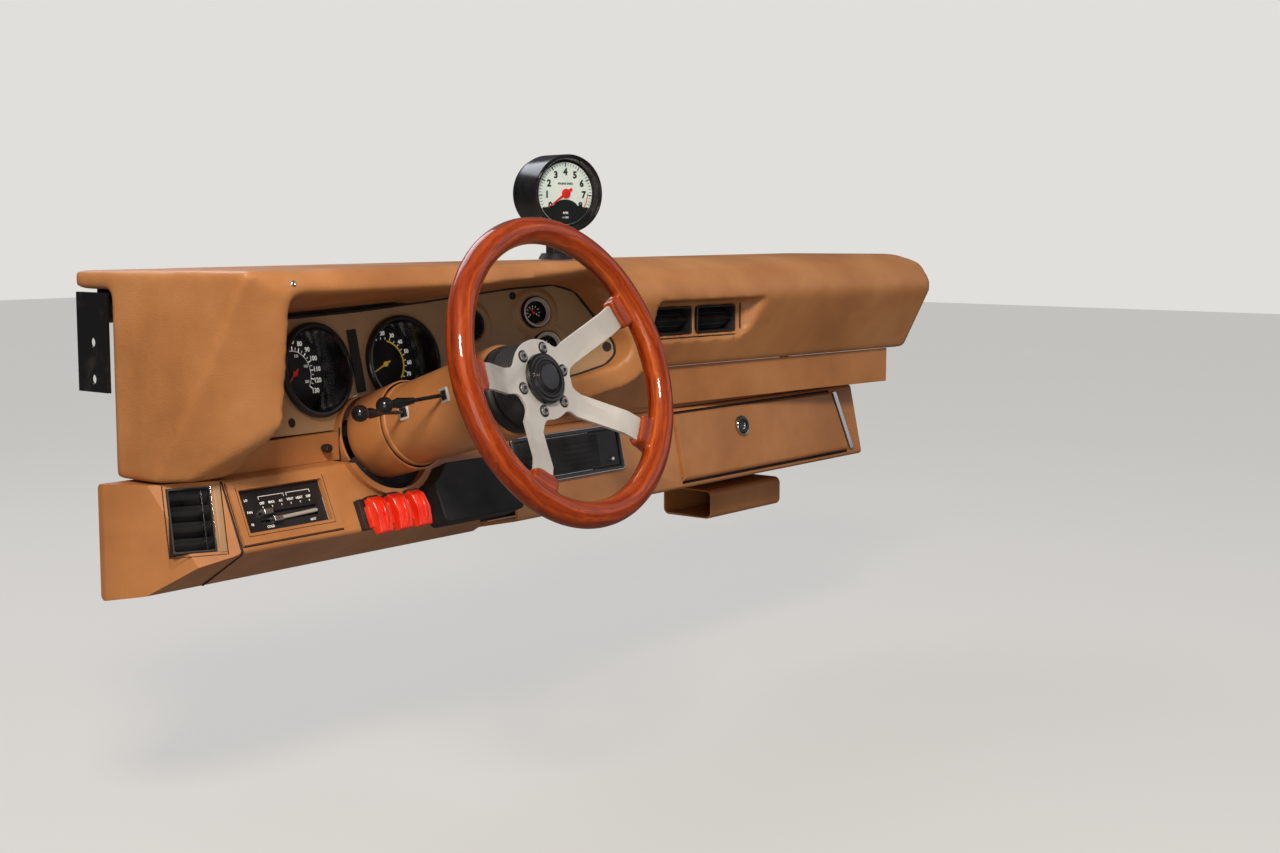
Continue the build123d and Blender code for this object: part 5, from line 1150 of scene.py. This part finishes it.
def switches():
    """Three flip covers with a rib and side cheeks each, their hinges and base, and the black control
    box."""
    rolled("switch_base", "switch_plate", 0.8, "black_plastic", BLACK)
    rolled("switch_covers", "flip_covers", 2.2, "red_plastic", RED, segments=4)
    rib = [(0, -8, 16.2), (0, -14, 18.6), (0, -25, 19.6), (0, -34, 17.9), (0, -44, 14.8)]
    pin = [(-10.5, -2.5, 5.0), (-10.4, -2.5, 5.0), (10.4, -2.5, 5.0), (10.5, -2.5, 5.0)]
    ribs, hinges = [], []
    for number in (-1, 0, 1):
        top = moved(LOWER, SWITCH_MIDDLE + number * SWITCH_PITCH, -47.0, 9.0)
        ribs.append(rod(top, rib, [0.4, 2.6, 3.0, 2.8, 0.4], 20))
        for side in (-1, 1):
            ribs.append(block(moved(top, side * 10.4, -23, 1.0), (0, 0), (3.4, 26), 1.4, -1.0, 6.0, 1.2))
        hinges.append(block(top, (0, -2.5), (17, 7), 1.0, -1, 7.0, 1.0))
        hinges.append(rod(top, pin, [PIN_END, 2.2, 2.2, PIN_END]))
    piece("cover_ribs", ribs, "red_plastic", RED)
    piece("cover_hinges", hinges, "black_plastic", BLACK)
    rolled("control_box", "control_box_skin", 2.0, "black_plastic", LEATHERETTE)


def end_vent():
    """Vent at the door: broad gloss blades one above the other behind a bright-edged frame, split by a
    bar at the side toward the wheel. A blade's section bows by 2.5 t^2 as it falls 10 mm, t from -1 to
    1."""
    half_wide, half_tall = 24.0, 36.0
    face = moved(END, 13 + half_wide, 5 + half_tall)
    stations = [(0.3, -29), (0.3, 1.0), (0.8, 1.6), (2.4, 1.6), (2.8, 1.0), (2.8, -27)]
    frame_rings = np.array(rings((0, 0), (2 * half_wide, 2 * half_tall), 1.6, stations))
    back_plate = block(face, (0, 0), (46, 70), 1.0, -30, -26, 0.5)
    housing = [lattice(put(face, frame_rings), wrap_columns=True), back_plate]
    piece("end_vent_housing", housing, "black_plastic", BLACK, "end_vent")
    t = np.linspace(-1, 1, 9)[:, None]
    blades = []
    for row in range(4):
        for ends in ((-21.0, -15.0), (-13.0, 21.0)):
            section = (np.array([ends]), -26.0 + 17.6 * row + 8.0 * t, -6.0 - 5.0 * t - 2.5 * t**2)
            front = np.stack(np.broadcast_arrays(*section), -1)
            blade = np.concatenate([front, front[::-1] + (0, 0, -1.6)])
            blades.append(lattice(put(face, blade), wrap_rows=True))
    blades.append(block(face, (-14.0, 0), (1.8, 67), 0.6, -12, -1.0, 0.4))
    piece("end_vent_blades", blades, "black_plastic", GLOSS)
    left, right, foot, top = -half_wide + 0.6, half_wide - 0.6, -half_tall + 0.6, half_tall - 0.6
    edges = [rod(face, [(left, foot, 1.5), (left, top, 1.5)], 0.55),
             rod(face, [(left, foot, 1.5), (right, foot, 1.5)], 0.4)]
    piece("end_vent_edges", edges, "bright_trim", CHROME)


# The centre vents' line up the pad's face, and half the height of their barrels
VENT_LINE, BARREL_HALF = -51.5, 14.8


def centre_vents():
    """Centre vents: black frames with a barrel each, whose front is folded along its middle: it stands
    11 (1 - |t|) proud and runs 12 (1 - |t|) further right, t from -1 at its foot to 1 at its top."""
    t = np.linspace(-1, 1, 17)[:, None]
    share = np.linspace(0, 1, 12)[None, :]
    for side, centre in (("left", 130.0), ("right", 226.0)):
        left, right = centre - 37.5, centre + 24.0 + 12.0 * (1 - np.abs(t))
        front = np.stack(np.broadcast_arrays(
            left + (right - left) * share, VENT_LINE + BARREL_HALF * t, -13.0 + 11.0 * (1 - np.abs(t))), -1)
        rear = front[::-1] * (1, 1, 0) + (0, 0, -15.0)
        shells = [lattice(put(VENT, np.concatenate([front, rear])), wrap_rows=True)]
        for row in (-0.55, 0.0, 0.55):
            proud, up = 1 - abs(row), VENT_LINE + BARREL_HALF * row
            level = -13.0 + 11.0 * proud + 0.2
            ends = [(centre - 37, up, level), (centre + 22.0 + 12.0 * proud, up, level)]
            shells.append(rod(VENT, ends, 0.7, 8))
        piece(f"centre_vent_{side}_barrel", shells, "black_plastic", GLOSS)
        stations = [(0, -58), (0, 0.8), (0.6, 1.5), (2.0, 1.5), (2.5, 0.8), (2.5, -40)]
        case = rings((centre, VENT_LINE), (85.0, 38.0), 2.0, stations)
        case.append(np.tile([centre, VENT_LINE, -40.0], (len(case[0]), 1)))
        case = lattice(put(VENT, np.array(case)), wrap_columns=True)
        piece(f"centre_vent_{side}_case", [case], "black_plastic", BLACK, f"centre_vent_{side}")


RADIO_CENTRE = (-64.0, -40.0)


def radio():
    """Radio: a nearly blank dark face with faint rows of keys, one small bright pin and a thin bright
    frame."""
    rolled("radio", "radio_case", 1.0, "black_plastic", BLACK)
    rolled("radio_frame", "radio_bezel", 1.2, "black_plastic", GLOSS)
    edge = rounded_outline(221.0, 61.0, 4.6) + RADIO_CENTRE
    trim = rod(GLOVE, at_level(np.vstack([edge, edge[:1]]), 3.6), 0.9, 10)
    piece("radio_trim", [trim], "bright_trim", CHROME)
    face = moved(GLOVE, *RADIO_CENTRE, 2.0)
    shells = [block(face, (-18, 0), (160, 44), 2, 0, 0.9, 0.4)]
    shells += [block(face, (across, up), (13, 6.4), 1.0, 1.0, 2.2, 0.5)
               for up in (-15, -5, 5, 15) for across in (-80, -64, -48)]
    shells += [block(face, (22, up), (66, 1.6), 0.6, 1.0, 1.9, 0.3) for up in (-14, -7, 0, 7, 14)]
    piece("radio_panel", shells, "gauge_black", DARK)
    pin = turned(moved(face, 84, -15), [(0, 6), (2.4, 6), (3, 5), (3, 0), (0, 0)], 24, 0.4)
    piece("radio_pin", [pin], "bright_trim", CHROME)


def glove_box():
    """Lock, end strip and bin of the glove box."""
    lock = moved(GLOVE, 339.0, -38.0, 4.3)
    cup = [(0, 2.4), (6.4, 2.4), (8.6, 4.2), (8.8, 1), (0, 1)]
    piece("lock_cup", [turned(lock, cup, 48, 0.3)], "black_plastic", GLOSS, body="glove_door")
    ring = [(0, 2.2), (6.2, 2.2), (6.8, 3.4), (9.5, 4.6), (12.5, 4.4), (14.4, 2.8), (15, 0.8), (15, 0),
            (0, 0)]
    piece("lock_ring", [turned(lock, ring, 64, 0.4)], "bright_trim", GLOSS, "glove_lock", body="glove_door")
    outer_rim = [(13.4, 3.6), (14.2, 4.0), (15.0, 3.0), (15.2, 1.2), (13.6, 1.2), (13.4, 3.6)]
    inner_rim = [(4.8, 2.2), (4.8, 3.0), (6.0, 3.2), (6.4, 2.2), (4.8, 2.2)]
    rims = [turned(lock, outer_rim, 64), turned(lock, inner_rim, 48)]
    piece("lock_rims", rims, "bright_trim", CHROME, body="glove_door")
    slot = block(lock, (0, 0), (1.6, 7.0), 0.6, 1.8, 2.5, 0.2)
    piece("lock_slot", [slot], "black_plastic", DARK, body="glove_door")
    rolled("end_strip", "end_strip_trim", 1.0, "bright_trim", CHROME)
    rolled("glove_bin", "bin_moulding", 0.6, "black_plastic", BLACK)


# The tachometer's scale from its start to its end in degrees, and the level of its print
TACH_START, TACH_END, TACH_PRINT = 215, -35, 26.4


def tachometer():
    """Tachometer: gloss cup, printed face with a dark lower field, red pointer, lens, and its foot. The
    field is a sector of the face under an arch, half an ellipse."""
    cup = [(0, 25.9), (44, 25.9), (46.5, 35.8), (48.2, 38), (50.6, 37.8), (52, 35.8), (52, -20), (49.5, -30),
           (44, -36), (36, -38), (0, -38)]
    piece("tach_cup", [turned(TACH, cup, 96, 1.0)], "tach_black", GLOSS, "tach_case")
    face = turned(TACH, [(0, 26.3), (41.5, 26.3), (41.5, 26.0)])
    piece("tach_dial", [face], "tach_black", TACH_FACE)
    dark = numbers(TACH, range(0, 9), TACH_START, TACH_END, 28.5, 12.5, TACH_PRINT, 0.05)
    for count, inner, outer, width in ((41, 36.8, 40.6, 0.7), (9, 35.6, 41.0, 1.6)):
        dark += ticks(TACH, TACH_START, TACH_END, count, inner, outer, width, TACH_PRINT)
    dark.append(word(TACH, "ENGINE SPEED", (0, 13), 3.6, TACH_PRINT, bold=0.05))
    sector = circle(41.2, np.radians(np.linspace(208, 332, 40)))
    arch = circle(1.0, np.radians(np.linspace(25, 155, 24))) * (21, 14) + (0, -22)
    dark.append(prism(TACH, np.vstack([sector, arch]), 26.35, 26.6))
    piece("tach_print", dark, "tach_black", GREY_INK)
    white = [word(TACH, "RPM", (0, -26), 4.2, 26.8), word(TACH, "x 1000", (0, -32), 3.4, 26.8)]
    piece("tach_words", white, "tach_black", WHITE_INK)
    red = [*pointer(TACH, TACH_START - 1, 34, 11, 4.0, 28.0), arc(TACH, 0, TACH_END, 33.5, 34.8, 26.7)]
    piece("tach_pointer", red, "tach_black", RED_INK)
    glass = turned(TACH, [(0, 33.2), (45, 33.2), (45.4, 33.8), (0, 35.2)])
    piece("tach_lens", [glass], "tach_black", LENS)
    rolled("tach_foot", "tach_stand", 1.0, "tach_black", BLACK)


def light_switch():
    """Headlamp knob under the gauges."""
    seat = face_at((-449.0, -128.0, -175.35), (1, 0, 0), (0, -1, 0))
    knob = [(0, 12), (3.4, 12), (4.8, 11), (5.4, 8.6), (5.0, 3), (4.2, 1.2), (2.7, 0.6), (2.7, -18), (0, -18)]
    piece("light_knob_cap", [turned(seat, knob, 40, 0.6)], "black_plastic", GLOSS, "light_knob")


BACKDROP = "#E4E2DE"


def studio_floor():
    """Plain pale floor of matt paper, 24 m square: a mid grey that the camera sees with a little light
    added."""
    half, level = 12.0, -0.62
    mesh = bpy.data.meshes.new("floor")
    corners = [(-half, -half, level), (half, -half, level), (half, half, level), (-half, half, level)]
    mesh.from_pydata(corners, [], [(0, 1, 2, 3)])
    paper, tree, base, place = finish_named("matt_paper", Roughness=0.9, Emission_Color=linear(BACKDROP))
    shade = ramp(tree, noise(tree, place, 900), (0.3, "#7C7A77"), (0.7, "#807E7B"))
    seen = add(tree, "ShaderNodeLightPath").outputs["Is Camera Ray"]
    feed(base, Base_Color=mixed(tree, seen, "#6E6C69", shade),
         Emission_Strength=sums(tree, "MULTIPLY", seen, 0.62))
    mesh.materials.append(paper)
    linked("floor", mesh)


def plain_light():
    """Light from all round, stronger from above and weaker in reflections; the camera sees a plain
    backdrop."""
    world = bpy.data.worlds.new("plain light")
    bpy.context.scene.world = world
    world.use_nodes = True
    tree = world.node_tree
    rays = add(tree, "ShaderNodeLightPath").outputs
    way = add(tree, "ShaderNodeTexCoord").outputs["Generated"]
    height = add(tree, "ShaderNodeSeparateXYZ", {"Vector": way}).outputs["Z"]
    in_reflections = scaled(tree, rays["Is Glossy Ray"], 1.0, 0.35)
    dome = sums(tree, "MULTIPLY", scaled(tree, height, 0.13, 0.52, -0.1, 0.8), in_reflections)
    seen = rays["Is Camera Ray"]
    strength = add(tree, "ShaderNodeMix", {"Factor": seen, "A": dome, "B": 0.97}, data_type="FLOAT")
    feed(tree.nodes["Background"], Color=mixed(tree, seen, "#D2D4D8", BACKDROP),
         Strength=strength.outputs["Result"])


def placed(name, data, place, right, back):
    """A lamp or camera at its place in metres, by the directions to its right and behind it."""
    thing = linked(name, data)
    matrix = np.eye(4)
    matrix[:3, :3] = np.stack([right, np.cross(back, right), back], -1)
    matrix[:3, 3] = place
    thing.matrix_world = Matrix(matrix.tolist())
    return thing


def lamps():
    """Soft lamps: each one's place and aim in metres, its side, its watts and its colour."""
    for name, place, aim, size, power, colour in (
        ("door side", (-2.2, -1.9, 1.7), (-0.4, -0.2, -0.1), 0.6, 84.0, "#FFF1E0"),
        ("door opening", (-2.0, -1.8, -0.3), (-0.4, -0.2, -0.1), 1.2, 13.0, "#FFF4E8"),
        ("windshield", (0.2, 1.6, 1.8), (0.0, -0.1, 0.0), 1.6, 26.0, "#F2F5FF"),
        ("passenger side", (2.0, -2.0, 0.9), (0.1, -0.2, -0.1), 2.0, 7.0, "#F4F6FF"),
    ):
        lamp = bpy.data.lights.new(name, "AREA")
        lamp.size, lamp.energy, lamp.color = size, power, linear(colour)[:3]
        back = -unit(np.array(aim) - np.array(place))
        placed(name, lamp, place, unit(np.cross((0, 0, 1), back)), back)


def camera():
    """The photograph's camera: turned by its yaw and pitch, then rolled about its own line of sight."""
    yaw, pitch, roll = (math.radians(angle) for angle in (CAMERA_YAW, CAMERA_PITCH, CAMERA_ROLL))
    ahead = np.array([math.sin(yaw) * math.cos(pitch), math.cos(yaw) * math.cos(pitch), -math.sin(pitch)])
    level_right = np.array([math.cos(yaw), -math.sin(yaw), 0])
    right = level_right * math.cos(roll) + np.cross(level_right, ahead) * math.sin(roll)
    lens = bpy.data.cameras.new("camera")
    lens.sensor_width = SENSOR
    lens.lens = FOCAL_PIXELS / PHOTO_WIDTH * SENSOR
    bpy.context.scene.camera = placed("camera", lens, np.array(CAMERA_PLACE) * MM, right, -ahead)
    bpy.context.scene.view_settings.view_transform = "Standard"


for build in (
    pad, backing, panels, plate, large_gauges, small_gauges, plate_holes, column, levers, wheel_rim,
    wheel_centre, shafts, steelwork, heater_control, switches, end_vent, centre_vents, radio, glove_box,
    tachometer, light_switch, studio_floor, plain_light, lamps, camera,
):
    build()
